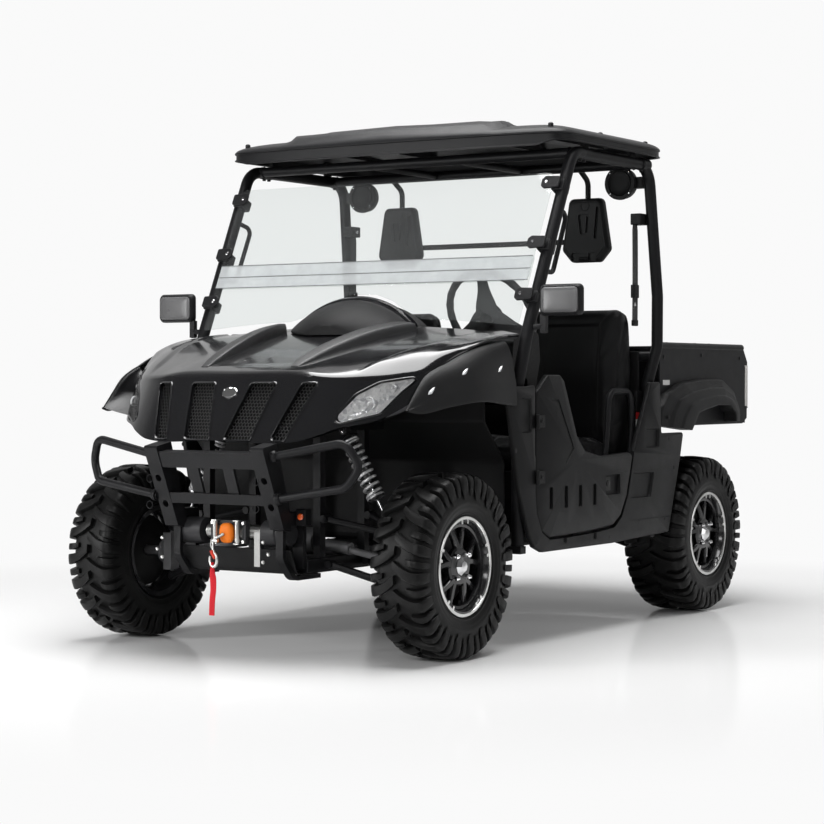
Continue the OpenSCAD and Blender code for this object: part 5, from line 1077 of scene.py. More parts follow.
def carve(made, parts):
    """Cuts solids out of a piece, once, and keeps the result as its mesh."""
    tool = piece("cutter", parts, made.data.materials[0], None, crease=30)
    cut = made.modifiers.new("cut", "BOOLEAN")
    cut.object, cut.operation, cut.solver = tool, "DIFFERENCE", "EXACT"
    cut.use_self = True
    bpy.context.view_layer.update()
    fresh = bpy.data.meshes.new_from_object(made.evaluated_get(bpy.context.evaluated_depsgraph_get()))
    fresh.materials.clear()
    fresh.materials.append(made.data.materials[0])
    for f in fresh.polygons:
        f.material_index = 0
    made.modifiers.clear()
    made.data = fresh
    bpy.data.objects.remove(tool)
    fresh.shade_smooth()
    fresh.set_sharp_from_angle(angle=math.radians(35))
    return made


def wall_ring(outline, out, deep, thick):
    """Wall that follows a closed outline (x, z) on the nose: from out in front of the skin to deep behind it."""
    q = np.asarray(outline, float)
    along = unit(np.roll(q, -1, 0) - np.roll(q, 1, 0))
    away = np.stack([along[:, 1], -along[:, 0]], -1)
    away *= np.sign(((q - q.mean(0)) * away).sum(1).mean())
    def ring(grow, y):
        p = q + away * grow
        return np.stack([p[:, 0], nose_y(p[:, 0], p[:, 1]) + y + AXLE, p[:, 1]], -1)
    soft = thick * 0.35
    rows = np.stack([ring(0, deep), ring(0, soft - out), ring(soft, -out), ring(thick - soft, -out), ring(thick, soft - out),
        ring(thick, deep)], 1)
    return skin(np.concatenate([rows, rows[:1]]), ends=False)


# Hood: fine grid with a turned front and side edge, a step along the wing and a shallow middle channel
u = np.concatenate([np.linspace(0, 0.06, 8), np.linspace(0.08, 1, 62)])[:, None]
s = np.concatenate([np.linspace(-1, -0.97, 6), np.linspace(-0.96, 0.96, 133), np.linspace(0.97, 1, 6)])[None]
lip = curve(HOOD_LIP, HALF * np.abs(s))
front = nose_y(HALF * s, lip)
y = front + (HOOD_REAR - front) * u
x = s * (HALF + (curve(WING_X, y) - HALF) * np.minimum(1, 4 * u))
z = hood_z(HALF * s, y)
edge = np.minimum(1, (y - front) / 0.016)
z = z - 0.006 * (1 - edge) ** 2
z = z - 0.005 * (1 - np.minimum(1, (1 - np.abs(s)) / 0.02)) ** 2
rib_at = curve([[r[0], r[1]] for r in RIB], y)
z = z - 0.004 * step(np.abs(x), rib_at - 0.006, rib_at - 0.04) * step(y - front, 0.05, 0.12)
fold = curve([[-.26, .43], [-.10, .47], [.10, .54], [.45, .60]], y)
z = z + 0.0075 * step(np.abs(x), fold - 0.004, fold + 0.012) * step(y - front, 0.01, 0.10) - 0.0045 * step(np.abs(x), fold + 0.012, fold + 0.10)
top = np.stack([x + 0 * y, y + AXLE, z], -1)
hood_piece = piece("hood_skin", [closed_shell(top, top - [0, 0, 0.005])], gloss_black, "chassis", replaces=["hood"],
    crease=40)
# Ribs: a wedge with a flat top and rounded edges that ends in a blunt face before the windshield
k = eased(RIB, np.linspace(-.218, .356, 44))
ry, rx, rh, rw = np.linspace(-.218, .356, 44)[:, None], k[:, :1], k[:, 1:2], k[:, 2:3]
off = np.array([1.12, 1.0, 0.86, 0.74, 0.55, 0.0, -0.50, -0.66, -0.80, -0.92, -1.02])
lift = np.array([-0.30, 0.36, 0.72, 0.82, 0.86, 0.94, 1.0, 0.98, 0.90, 0.55, -0.30])
ribs = np.stack([rx + rw * off, np.broadcast_to(ry + AXLE, (44, 11)), hood_z(rx, ry) + rh * np.maximum(lift, 0) + np.minimum(lift, 0) * 0.028
    + 0.5 * (hood_z(rx + rw * off, ry) - hood_z(rx, ry))], -1)
rib_black = finish("rib_satin", (0.014, 0.014, 0.015), 0.33, grain=0.3, pitch=1300.0, pores=True, spread=0.1)
piece("hood_ribs", mirror([skin(ribs)]), rib_black, "chassis", crease=32, bevel=0.0015)

# Nose: skin with two slots on each half's fan, and the lamp openings
v = np.linspace(0, 1, 30)[:, None]
x = np.concatenate([np.linspace(-HALF, HALF, 141)])[None]
foot, lip = curve(NOSE_FOOT, np.abs(x)), curve(HOOD_LIP, np.abs(x)) - 0.0055
z = foot + (lip - foot) * v
outer = np.stack([np.broadcast_to(x, z.shape), nose_y(x, z) + AXLE, z], -1)
nose_piece = piece("nose_skin", [closed_shell(outer, outer + [0, 0.006, 0])], gloss_black, "chassis", replaces=["nose"],
    crease=40)
SLOTS = []
for foot_in, foot_out, top_in, top_out in ((.031, .140, .079, .181), (.222, .276, .283, .339)):
    SLOTS.append(rounded([[foot_in, .746], [foot_out, .746], [top_out, .937], [top_in, .937]], 0.007, 4, closed=True))
LAMP_EDGE = rounded(LAMP, 0.014, 5, closed=True)
holes = [prism(q, [0, AXLE - 0.6, 0], [1, 0, 0], [0, 0, 1], (-0.75, 0.0)) for q in SLOTS + [LAMP_EDGE]]
carve(nose_piece, mirror(holes))


def resampled(path, spacing):
    """Points at even spacing round a closed outline."""
    p = np.concatenate([path, path[:1]])
    run = np.concatenate([[0], np.cumsum(np.linalg.norm(np.diff(p, axis=0), axis=1))])
    t = np.linspace(0, run[-1], max(12, int(run[-1] / spacing)) + 1)[:-1]
    return np.stack([np.interp(t, run, p[:, 0]), np.interp(t, run, p[:, 1])], -1)


walls = [wall_ring(resampled(q, 0.008), 0.0050, 0.030, 0.0060) for q in SLOTS]
walls.append(wall_ring(resampled(LAMP_EDGE, 0.008), 0.0035, 0.020, 0.007))
# Corner: the skin runs on from the nose's end round to the flare's front edge, and closes the space behind the lamp
t = np.linspace(0, 1, 28)[:, None]
s = np.linspace(0, 1, 12)[None]
cz = np.interp(t, [0, 0.45, 1], [.822, .900, .972])
cx = np.interp(t, [0, 0.45, 1], [.560, .643, .643])
fy = -.224 + .214 * t ** 1.4
corner = np.stack([cx + (curve(WING_X, fy) - 0.002 - cx) * s + 0.006 * np.sin(math.pi * s), nose_y(cx, cz) + (fy - nose_y(cx, cz)) * s + AXLE,
    cz + (curve(WING_Z, fy) - 0.008 - cz) * s], -1)
piece("nose_corners", mirror([closed_shell(corner, corner + [-0.003, 0.004, -0.002])]), rib_black, "chassis", crease=50)
piece("slot_walls", mirror(walls), gloss_black, "chassis", crease=50)

# Liner: a moulded sheet that closes the space behind the slots and the lamps
x = np.linspace(-.615, .615, 61)[None]
foot, lip = curve(NOSE_FOOT, np.abs(x)) + 0.004, curve(HOOD_LIP, np.abs(x)) - 0.016
z = foot + (lip - foot) * np.linspace(0, 1, 12)[:, None]
liner = np.stack([np.broadcast_to(x, z.shape), nose_y(x, z) + 0.058 + AXLE, z], -1)
piece("nose_liner", [closed_shell(liner, liner + [0, 0.004, 0])], moulded_black, "chassis", crease=40)

# ---------------------------------------------------------------- Grille mesh and badge
# Punched sheet steel with six-sided holes, painted black and clipped behind the slots; a plain chromed oval
# plate is stuck on the rib between the middle slots.
mesh_black = finish("mesh_black", (0.06, 0.06, 0.06), 0.36, metal=0.35, spread=0.2)


def hex_sheet(outline, y_at, pitch=0.0128, wire=0.0021, thick=0.0022):
    """Punched sheet: a ring of six walls round each hole whose middle is inside the outline (x, z)."""
    q = np.asarray(outline, float)
    lo, hi = q.min(0), q.max(0)
    i, j = np.meshgrid(np.arange(-1, int((hi[0] - lo[0]) / pitch) + 2), np.arange(-1, int((hi[1] - lo[1]) / pitch / 0.866) + 2))
    c = np.stack([lo[0] + (i + 0.5 * (j % 2)) * pitch, lo[1] + j * pitch * 0.866], -1).reshape(-1, 2)
    a, b = q, np.roll(q, -1, 0)
    cross = (a[None, :, 1] > c[:, None, 1]) != (b[None, :, 1] > c[:, None, 1])
    at = a[:, 0] + (c[:, None, 1] - a[:, 1]) * (b[:, 0] - a[:, 0]) / np.where(b[:, 1] == a[:, 1], 1, b[:, 1] - a[:, 1])
    c = c[(cross & (c[:, None, 0] < at)).sum(1) % 2 == 1]
    t = np.radians(30 + 60 * np.arange(6))
    ring = np.stack([np.cos(t), np.sin(t)], -1)
    big, small = pitch / 2 / 0.866 * 1.01, pitch / 2 / 0.866 - wire / 2
    def at_ring(r, back):
        p = c[:, None] + ring * r
        return np.stack([p[..., 0], y_at(p[..., 0], p[..., 1]) + back + AXLE, p[..., 1]], -1)
    rows = np.stack([at_ring(big, 0), at_ring(small, 0), at_ring(small, thick), at_ring(big, thick), at_ring(big, 0)], 2)
    rows = np.swapaxes(rows, 1, 2)
    n = len(c)
    k = np.arange(6)
    m = (k + 1) % 6
    quads = np.concatenate([np.stack([r * 6 + k, r * 6 + m, (r + 1) * 6 + m, (r + 1) * 6 + k], -1) for r in range(4)])
    shift = (np.arange(n) * 30)[:, None, None]
    return rows.reshape(-1, 3), [(quads[None] + shift).reshape(-1, 4)]


sheets = [hex_sheet(q + unit(q - q.mean(0)) * 0.006, lambda x, z: nose_y(x, z) + 0.014) for q in SLOTS]
piece("grille_sheet", mirror(sheets), mesh_black, "chassis", replaces=["grille_mesh"], crease=30, flip_check=True)
badge_chrome = finish("badge_chrome", (0.80, 0.80, 0.80), 0.10, metal=1.0, grain=0.08, pitch=120.0)
t = np.linspace(0, 2 * math.pi, 49)[:-1]
rows = np.array([[1.0, 0.0], [1.0, -0.0035], [0.94, -0.0055], [0.88, -0.0048], [0.82, -0.0042], [0.5, -0.0052], [0.1, -0.0055]])
bx, bz = 0.031 * rows[:, :1] * np.cos(t), 0.0185 * rows[:, :1] * np.sin(t)
badge = np.stack([bx, nose_y(bx, .905 + bz) + rows[:, 1:] - 0.0005 + AXLE, .905 + bz], -1)
piece("plain_badge", [skin(badge)], badge_chrome, "chassis", crease=25)

# ---------------------------------------------------------------- Headlights
# Clear polycarbonate lens, bulged, glued in a black bezel over a vacuum plated bowl with cut facets; the bulb sits
# behind a small round shade.
clear_lens = bpy.data.materials.new("clear_lens")
clear_lens.use_nodes = True
tree = clear_lens.node_tree
link = tree.links.new
shader = tree.nodes["Principled BSDF"]
shader.inputs["Base Color"].default_value = (0.02, 0.02, 0.02, 1)
shader.inputs["Roughness"].default_value = 0.03
through = node(tree, "ShaderNodeBsdfTransparent")
flute = node(tree, "ShaderNodeTexNoise", Scale=30.0)
link(node(tree, "ShaderNodeTexCoord").outputs["Object"], flute.inputs["Vector"])
facing = node(tree, "ShaderNodeLayerWeight", Blend=0.12)
amount = node(tree, "ShaderNodeMath", operation="MULTIPLY_ADD")
amount.inputs[1].default_value = 0.75
amount.inputs[2].default_value = 0.03
mix = node(tree, "ShaderNodeMixShader")
link(facing.outputs["Fresnel"], amount.inputs[0])
link(amount.outputs["Value"], mix.inputs["Fac"])
link(through.outputs["BSDF"], mix.inputs[1])
link(shader.outputs["BSDF"], mix.inputs[2])
link(mix.outputs["Shader"], tree.nodes["Material Output"].inputs["Surface"])
edge = resampled(LAMP_EDGE, 0.006)
core = edge.mean(0) + [0.004, 0.004]


def lamp_rows(shrink, y):
    """Rings of the lamp: the outline drawn in towards its middle by each factor, at a depth behind the skin."""
    p = core + (edge - core) * np.asarray(shrink, float)[:, None, None]
    return np.stack([p[..., 0], nose_y(p[..., 0], p[..., 1]) + np.asarray(y, float)[:, None] + AXLE, p[..., 1]], -1)


k = np.linspace(1.0, 0.02, 14)
lens_out = lamp_rows(k, -0.0015 - 0.0065 * (1 - k ** 2))
lens_in = lamp_rows(k[::-1], 0.0015 - 0.0065 * (1 - k[::-1] ** 2))
piece("lamp_lenses", mirror([skin(np.concatenate([lens_out, lens_in]))]), clear_lens, "chassis", replaces=["headlights"],
    crease=60)
# Facets: cells of the plating reflect in different directions, so each gets its own slope from a bump, and its
# reflection is painted into the base colour as its own brightness
plated_painted_reflections = bpy.data.materials.new("plated_facets_painted_reflections")
plated_painted_reflections.use_nodes = True
tree = plated_painted_reflections.node_tree
link = tree.links.new
shader = tree.nodes["Principled BSDF"]
shader.inputs["Metallic"].default_value = 0.15
shader.inputs["Roughness"].default_value = 0.14
place = node(tree, "ShaderNodeTexCoord").outputs["Object"]
cells = node(tree, "ShaderNodeTexVoronoi", Scale=74.0)
painted_reflection_level = node(tree, "ShaderNodeRGBToBW")
# Painted reflection: each cell's brightness, from mid grey to near white, stands in for the light it reflects
tone = node(tree, "ShaderNodeValToRGB")
tone.color_ramp.elements[0].position, tone.color_ramp.elements[0].color = 0.15, (0.58, 0.59, 0.61, 1)
tone.color_ramp.elements[1].position, tone.color_ramp.elements[1].color = 0.60, (0.97, 0.97, 0.97, 1)
bump = node(tree, "ShaderNodeBump", Strength=0.7, Distance=0.004)
link(place, cells.inputs["Vector"])
link(cells.outputs["Color"], painted_reflection_level.inputs["Color"])
link(painted_reflection_level.outputs["Val"], tone.inputs["Fac"])
link(tone.outputs["Color"], shader.inputs["Base Color"])
link(cells.outputs["Distance"], bump.inputs["Height"])
link(bump.outputs["Normal"], shader.inputs["Normal"])
k = np.array([0.98, 0.90, 0.78, 0.64, 0.48, 0.32, 0.16, 0.03])
bowl = lamp_rows(k, 0.006 + 0.040 * (1 - k ** 2.2))
wave = 0.0028 * (np.arange(bowl.shape[1]) % 3 - 1)[None] * (np.arange(8) % 2)[:, None]
bowl[..., 1] += wave
back = lamp_rows(k[::-1], 0.010 + 0.040 * (1 - k[::-1] ** 2.2))
piece("lamp_bowls", mirror([skin(np.concatenate([bowl, back]))]), plated_painted_reflections, "chassis", crease=4)
bulbs = []
for bx, bz, r in ((.505, .868, .024), (.552, .920, .014)):
    at = np.array([bx, nose_y(bx, bz) + AXLE, bz])
    bulbs.append(turned_on(at + [0, 0.040, 0], at + [0, 0.006, 0], [[0, 0.4 * r], [0.3, r], [0.85, r], [0.9, 0.9 * r], [0.86, 0.82 * r],
        [0.6, 0.7 * r], [0.8, 0.35 * r], [1.0, 0.2 * r], [1.0, 0.05 * r]], 28))
# The shades wear the same painted facet reflections as the bowls
piece("lamp_shades", mirror(bulbs), plated_painted_reflections, "chassis", crease=30)

# ---------------------------------------------------------------- Front flares
# Rotation moulded plastic, dull black with a fine grain, 5 mm thick with a turned lower lip; three small clear
# markers are clipped on each.
flare_black = finish("flare_black", (0.013, 0.013, 0.0135), 0.40, grain=0.3, pitch=1400.0, pores=True, spread=0.08)
FLARE_X = [[-.227, .662], [-.160, .684], [-.050, .722], [.083, .757], [.330, .757]]
FLARE_Z = [[-.227, .846], [-.170, .838], [-.050, .860], [.083, .876], [.280, .864], [.330, .862]]


def flare_point(y, a, drop=0.0):
    """Quarter ellipse from the wing at a 0 to the outer edge at a 90 degrees."""
    sa, ca = np.sin(a), np.cos(a)
    tx, tz = curve(WING_X, y), curve(WING_Z, y) - 0.0055
    ox, lz = curve(FLARE_X, y), curve(FLARE_Z, y)
    bead = 0.0025 * step(a, 1.12, 1.2)
    return np.stack(np.broadcast_arrays(tx + (ox - 0.0025 - tx) * sa + (bead - drop) * sa, y + AXLE, lz + (tz - lz) * ca - drop * ca
        + 0 * y), -1)


y = np.linspace(-.227, .330, 64)[:, None]
a = np.linspace(0, math.pi / 2, 30)[None]
parts = [closed_shell(flare_point(y, a), flare_point(y, a, 0.005))]
lower = flare_point(np.linspace(-.222, .328, 60)[:, None], np.array([[math.pi / 2]]))[:, 0]
parts.append(tube(lower + [-0.0035, 0, 0], 0.0045, 10))
parts.append(block(from_axle([745.3, 312, 874]), from_axle([755, 330, 902])))
piece("flares_front", mirror(parts), flare_black, "chassis", replaces=["front_flares"], crease=35)
marker_clear = finish("marker_clear", (0.75, 0.76, 0.78), 0.12, coat=0.8, spread=0.05)
clips = []
for cy, ca in ((-.118, 52), (.038, 44), (.235, 54)):
    at = flare_point(np.array(cy), np.array(math.radians(ca)))
    ahead = unit(flare_point(np.array(cy + 0.02), np.array(math.radians(ca - 4))) - at)
    out = unit(np.array([math.sin(math.radians(ca)), -0.15, math.cos(math.radians(ca))]))
    across = unit(np.cross(out, ahead))
    rows = []
    for d, w, h in ((-0.020, 0.0012, 0.001), (-0.008, 0.0075, 0.005), (0.010, 0.0050, 0.006), (0.020, 0.0010, 0.001)):
        rows.append(np.stack([at + ahead * d + across * w * e + out * (h * f - 0.001) for e, f in ((-1, 0), (-0.2, 1.1), (1, 0.1), (0.2, -0.5))]))
    clips.append(skin(np.stack(rows)))
piece("flare_markers", mirror(clips), marker_clear, "chassis", crease=12)

# ---------------------------------------------------------------- Roof
# One moulded plastic shell that drops over the cage and is bolted down: a raised panel along its middle, a drip rim
# all round, and two bosses over the front posts. Satin black, paler where the light grazes it.
roof_black = finish("roof_black", (0.014, 0.014, 0.015), 0.36, grain=0.2, pitch=800.0, pores=True, spread=0.14)
CROWN = np.array([[440, 300, 1922], [340, 250, 1922], [240, 200, 1922], [180, 150, 1921.5], [120, 110, 1920], [88, 82, 1915], [60, 60, 1906],
    [40, 40, 1896], [22, 22, 1884], [14, 14, 1876.5], [8, 8, 1869], [3, 3, 1859], [0, 0, 1850], [0, 0, 1845], [4, 4, 1842], [4, 4, 1826], [0, 0, 1822],
    [0, 0, 1819], [6, 6, 1819], [10, 10, 1823], [10, 10, 1846], [13, 13, 1856], [18, 18, 1864], [32, 32, 1873], [60, 60, 1881], [120, 110, 1892], [240, 200, 1903],
    [440, 300, 1908]])
a = np.linspace(0, 2 * math.pi, 241)[:-1]
cx = np.sign(np.cos(a)) * np.abs(np.cos(a)) ** 0.15
cy = np.sign(np.sin(a)) * np.abs(np.sin(a)) ** 0.15


def roof_rings(rows):
    """Rings of the shell: each row draws the plan in by its first two numbers and sets the height; the front and rear
    edges are bowed, the middle third stands proud of the sides, and each boss is a low dome over a front post."""
    in_x, in_y, z = [c[:, None] for c in np.asarray(rows, float).T]
    x = (762 - in_x) * cx
    y = 1074 + (438 - in_y) * cy - 26 * (1 - cx * cx) * np.where(cy < 0, 1, -0.5)
    z = np.broadcast_to(z, x.shape).copy()
    over = np.clip(z - 1850, 0, 100)
    z -= 0.46 * over * step(np.abs(x), 345, 383)
    far = np.hypot((np.abs(x) - 425) / 52, (y - 730) / 80)
    z += 0.34 * over * step(1.25 - far, 0, 0.4)
    flute = np.exp(-((np.abs(x) - 560) / 16) ** 2) * step(y, 760, 840) * step(1440 - y, 0, 80)
    z += 0.08 * over * flute
    z = np.minimum(z, 1922)
    # The front edge hangs lower than the rest of the rim, between two short upturned tips
    z -= 19 * step(1838 - z, 0, 12) * step(735 - np.abs(x), 0, 90) * step(720 - y, 0, 60)
    return from_axle(np.stack([x, y, z], -1))


upper_rows = [[762 * (1 - k), 438 * (1 - k), 1922] for k in (0.004, 0.1, 0.2, 0.3, 0.38)] + CROWN.tolist() + [
    [762 * (1 - k), 438 * (1 - k), 1908] for k in (0.38, 0.2, 0.004)]
parts = [skin(roof_rings(upper_rows))]
# Ribs moulded under the shell, running front to back
for x0 in (-520, -260, 260, 520):
    parts.append(block(from_axle([x0 - 3, 720, 1862]), from_axle([x0 + 3, 1420, 1878 if abs(x0) > 350 else 1892])))
piece("roof_shell", parts, roof_black, "chassis", replaces=["roof"], crease=28)
bolts = []
for side in (1, -1):
    for y in (690, 1074, 1450):
        at = from_axle([side * 690, y, 1868])
        bolts.append(turned_on(at, at + [0, 0, 0.020], [[0, 0.010], [0.75, 0.010], [0.9, 0.007], [1, 0.001]], 12))
piece("roof_bolts", bolts, roof_black, "chassis", crease=30)

# ---------------------------------------------------------------- Windshield
# Two sheets of clear polycarbonate, 5 mm thick, that overlap by a third: a light grey band shows where one lies
# behind the other. Each side is held by three moulded clamps that close round the front post.
sheet_clear = bpy.data.materials.new("clear_sheet")
sheet_clear.use_nodes = True
tree = sheet_clear.node_tree
tree.nodes.clear()
link = tree.links.new
out = node(tree, "ShaderNodeOutputMaterial")
through = node(tree, "ShaderNodeBsdfTransparent", Color=(0.93, 0.945, 0.94, 1))
shine = node(tree, "ShaderNodeBsdfGlossy", Color=(1, 1, 1, 1), Roughness=0.03)
haze = node(tree, "ShaderNodeBsdfDiffuse", Color=(0.80, 0.82, 0.83, 1))
rim = node(tree, "ShaderNodeFresnel", IOR=1.45)
facing = node(tree, "ShaderNodeNewGeometry")
outside = node(tree, "ShaderNodeMath", operation="SUBTRACT")
outside.inputs[0].default_value = 1.0
glance = node(tree, "ShaderNodeMath", operation="MULTIPLY")
place = node(tree, "ShaderNodeTexCoord")
smear = node(tree, "ShaderNodeTexNoise", Scale=3.0, Detail=3.0)
weak = node(tree, "ShaderNodeMath", operation="MULTIPLY")
weak.inputs[1].default_value = 0.05
first = node(tree, "ShaderNodeMixShader")
last = node(tree, "ShaderNodeMixShader")
link(place.outputs["Object"], smear.inputs["Vector"])
link(smear.outputs["Fac"], weak.inputs[0])
link(weak.outputs["Value"], first.inputs["Fac"])
link(through.outputs["BSDF"], first.inputs[1])
link(haze.outputs["BSDF"], first.inputs[2])
link(facing.outputs["Backfacing"], outside.inputs[1])
link(outside.outputs["Value"], glance.inputs[0])
link(rim.outputs["Fac"], glance.inputs[1])
link(glance.outputs["Value"], last.inputs["Fac"])
link(first.outputs["Shader"], last.inputs[1])
link(shine.outputs["BSDF"], last.inputs[2])
link(last.outputs["Shader"], out.inputs["Surface"])
band_grey = bpy.data.materials.new("band_grey")
band_grey.use_nodes = True
tree = band_grey.node_tree
tree.nodes.clear()
link = tree.links.new
out = node(tree, "ShaderNodeOutputMaterial")
through = node(tree, "ShaderNodeBsdfTransparent", Color=(0.90, 0.91, 0.91, 1))
cloud = node(tree, "ShaderNodeBsdfDiffuse", Color=(0.62, 0.64, 0.65, 1))
place = node(tree, "ShaderNodeTexCoord")
waves = node(tree, "ShaderNodeTexNoise", Scale=14.0, Detail=2.0)
part = node(tree, "ShaderNodeMapRange")
part.inputs["To Min"].default_value, part.inputs["To Max"].default_value = 0.38, 0.60
both = node(tree, "ShaderNodeMixShader")
link(place.outputs["Object"], waves.inputs["Vector"])
link(waves.outputs["Fac"], part.inputs["Value"])
link(part.outputs["Result"], both.inputs["Fac"])
link(through.outputs["BSDF"], both.inputs[1])
link(cloud.outputs["BSDF"], both.inputs[2])
link(both.outputs["Shader"], out.inputs["Surface"])
PANE_U, PANE_V = np.array([1.0, 0, 0]), np.array([0, 0.4271, 0.9042])
PANE_O = from_axle([0, 447, 1109])
PANE_N = np.array([0, -0.9042, 0.4271])


def on_pane(s, out):
    """Origin of the windshield's plane, s up the posts and out in front of them (mm)."""
    return PANE_O + PANE_V * s / 1000 + PANE_N * out / 1000


foot = np.array([[700, 20], [560, 35], [450, 45], [300, 52], [250, 66], [200, 96], [140, 132], [60, 160]])
foot = np.concatenate([foot, foot[::-1] * [-1, 1]])
lower = np.concatenate([[[706, 26], [706, 300], [-706, 300], [-706, 26]], foot[::-1]])
upper = [[-704, 196], [704, 196], [714, 640], [-714, 640]]
panes = [prism(rounded(lower / 1000, 0.010, 4, closed=True), on_pane(0, 28.5), PANE_U, PANE_V, (0, 0.005)),
    prism(rounded(np.array(upper) / 1000, 0.030, 6, closed=True), on_pane(0, 33.8), PANE_U, PANE_V, (0, 0.005))]
piece("windshield_panes", panes, sheet_clear, "chassis", replaces=["windshield"], crease=30, bevel=0.0008)
bands = [prism([[-0.703, 0.200], [0.703, 0.200], [0.703, 0.297], [-0.703, 0.297]], on_pane(0, 38.6), PANE_U, PANE_V, (0, 0.0012))]
piece("overlap_band", bands, band_grey, "chassis", crease=30)
seal = finish("seal_grey", (0.16, 0.165, 0.17), 0.5, grain=0.2, pitch=700.0)
lines = [prism([[-0.703, s], [0.703, s], [0.703, s + 0.003], [-0.703, s + 0.003]], on_pane(0, 38.7), PANE_U, PANE_V, (0, 0.002))
    for s in (0.1985, 0.245, 0.2955)]
piece("band_lines", lines, seal, "chassis", crease=30, bevel=0.0004)
clamp_black = finish("clamp_black", (0.016, 0.016, 0.017), 0.36, grain=0.25, pitch=900.0, pores=True)
clamps, knobs = [], []
for s in (140, 350, 596):
    shape = rounded(np.array([[742, -23], [742, 23], [682, 26], [668, 14], [668, -14], [682, -26]]) / 1000, 0.008, 5, closed=True)
    clamps.append(prism(shape, on_pane(s, 39.0), PANE_U, PANE_V, (0, 0.009)))
    shape = rounded(np.array([[750, -22], [750, 22], [700, 22], [700, -22]]) / 1000, 0.008, 5, closed=True)
    clamps.append(prism(shape, on_pane(s, -24), PANE_U, PANE_V, (0, 0.052)))
    at = on_pane(s, 48) + PANE_U * 0.690
    knobs.append(turned_on(at - PANE_N * 0.002, at + PANE_N * 0.0035, [[0, 0.0075], [0.6, 0.0075], [1, 0.005]], 6))
clamp_piece = piece("screen_clamps", mirror(clamps), clamp_black, "chassis", crease=30, bevel=0.004)
piece("clamp_screws", mirror(knobs), bright_steel, "chassis", crease=30)

# ---------------------------------------------------------------- Side panels and sills
# Moulded plastic panels outside the tub, from the scuttle along the sill and up round the seats, pushed on with
# clips. Pressed recesses stiffen them.


def recessed(made, cuts, ramp=0.006):
    """Sinks tapered recesses: each cut is an outline (y, z), the x of the outer face, its sign and the depth."""
    tools = []
    for outline, face, depth in cuts:
        q = rounded(outline, 0.008, 4, closed=True)
        c = q.mean(0)
        side = np.sign(face)
        small = c + (q - c) * (1 - ramp / np.maximum(np.linalg.norm(q - c, axis=1, keepdims=True), 0.01))
        rows = [(face + side * 0.004, c + (q - c) * 1.02), (face, q), (face - side * depth, small), (face - side * depth, c + (small - c) * 0.02)]
        rows = [(rows[0][0], c + (rows[0][1] - c) * 0.02)] + rows
        tools.append(skin(np.stack([np.stack([np.full(len(p), x), p[:, 0] + AXLE, p[:, 1]], -1) for x, p in rows])))
    carve(made, tools)


SIDE = rounded([[372, 560], [440, 405], [478, 352], [540, 330], [1075, 330], [1556, 345], [1663, 643], [1690, 738], [1492, 738], [1478, 940], [1400, 940],
    [1254, 672], [484, 672], [484, 930], [430, 925], [322, 925], [300, 868]], 12, 6, closed=True) / 1000
DOOR = rounded([[490, 868], [497, 905], [582, 966], [671, 966], [701, 944], [735, 875], [800, 742], [862, 685], [989, 663], [1200, 671], [1246, 662],
    [1229, 606], [1195, 503], [1146, 433], [1084, 398], [942, 388], [725, 381], [592, 379], [534, 407], [498, 474], [490, 553]], 14, 6, closed=True) / 1000
OPENING = rounded([[484, 1200], [484, 553], [492, 474], [532, 401], [590, 372], [725, 372], [942, 378], [1090, 388], [1152, 425], [1202, 503],
    [1236, 606], [1254, 672], [1254, 1200]], 12, 6, closed=True) / 1000
satin_black = finish("satin_black", (0.0085, 0.0085, 0.009), 0.40, grain=0.2, pitch=900.0, pores=True, spread=0.14)


def slab(outline, inner, outer, edge=0.004, shrink=0.0045):
    """Flat moulding with rolled edges between two x values, outline (y, z)."""
    c = outline.mean(0)
    nxt, prv = np.roll(outline, -1, 0), np.roll(outline, 1, 0)
    t = nxt - prv
    t = t / np.maximum(np.linalg.norm(t, axis=1, keepdims=True), 1e-9)
    n = np.stack([t[:, 1], -t[:, 0]], -1)
    turn = np.sign(np.sum(outline[:, 0] * nxt[:, 1] - outline[:, 1] * nxt[:, 0]))
    n = n * turn
    side = np.sign(outer)
    rings = [(inner, shrink * 0.6), (inner + side * 0.002, 0.0005), (inner + side * 0.004, 0), (outer - side * edge, 0), (outer - side * edge * 0.4, shrink * 0.35),
        (outer, shrink)]
    return np.stack([np.stack([np.full(len(outline), x), outline[:, 0] - d * n[:, 0] + AXLE, outline[:, 1] - d * n[:, 1]], -1) for x, d in rings])


for hand, side in (("left", 1), ("right", -1)):
    panel = piece(f"side_panel_{hand}", [skin(slab(SIDE, side * 0.7235, side * 0.7445))], satin_black, "chassis", crease=30)
    recessed(panel, [([[1.346, .757], [1.352, .683], [1.470, .683], [1.474, .757]][::-1], side * 0.7445, 0.009),
        ([[1.250, .588], [1.226, .492], [1.395, .492], [1.428, .588]][::-1], side * 0.7445, 0.009),
        ([[.386, .885], [.386, .760], [.455, .760], [.455, .885]], side * 0.7445, 0.006),
        ([[.690, .398], [.690, .352], [.716, .352], [.716, .398]], side * 0.7445, 0.008),
        ([[.921, .398], [.921, .352], [.947, .352], [.947, .398]], side * 0.7445, 0.008)])
    carve(panel, [prism(OPENING, [side * 0.733, AXLE, 0], [0, 1, 0], [0, 0, 1], (-0.03, 0.03))])
    if side == 1:
        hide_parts("side_panels")
trim, clips_at = [], []
for y, z in ((1.557, .715), (1.30, .40), (1.52, .40), (.50, .365), (1.05, .352), (.345, .88), (.345, .70), (1.60, .60)):
    at = np.array([0.7445, y + AXLE, z])
    clips_at.append(turned_on(at - [0.001, 0, 0], at + [0.0005, 0, 0], [[0, 0.009], [0.6, 0.009], [1, 0.006]], 16))
trim.append(block(np.array([0.7425, 1.242 + AXLE, 0.4055]), np.array([0.7452, 1.560 + AXLE, 0.4095])))
piece("sill_clips", mirror(clips_at + trim), moulded_black, "chassis", crease=30)

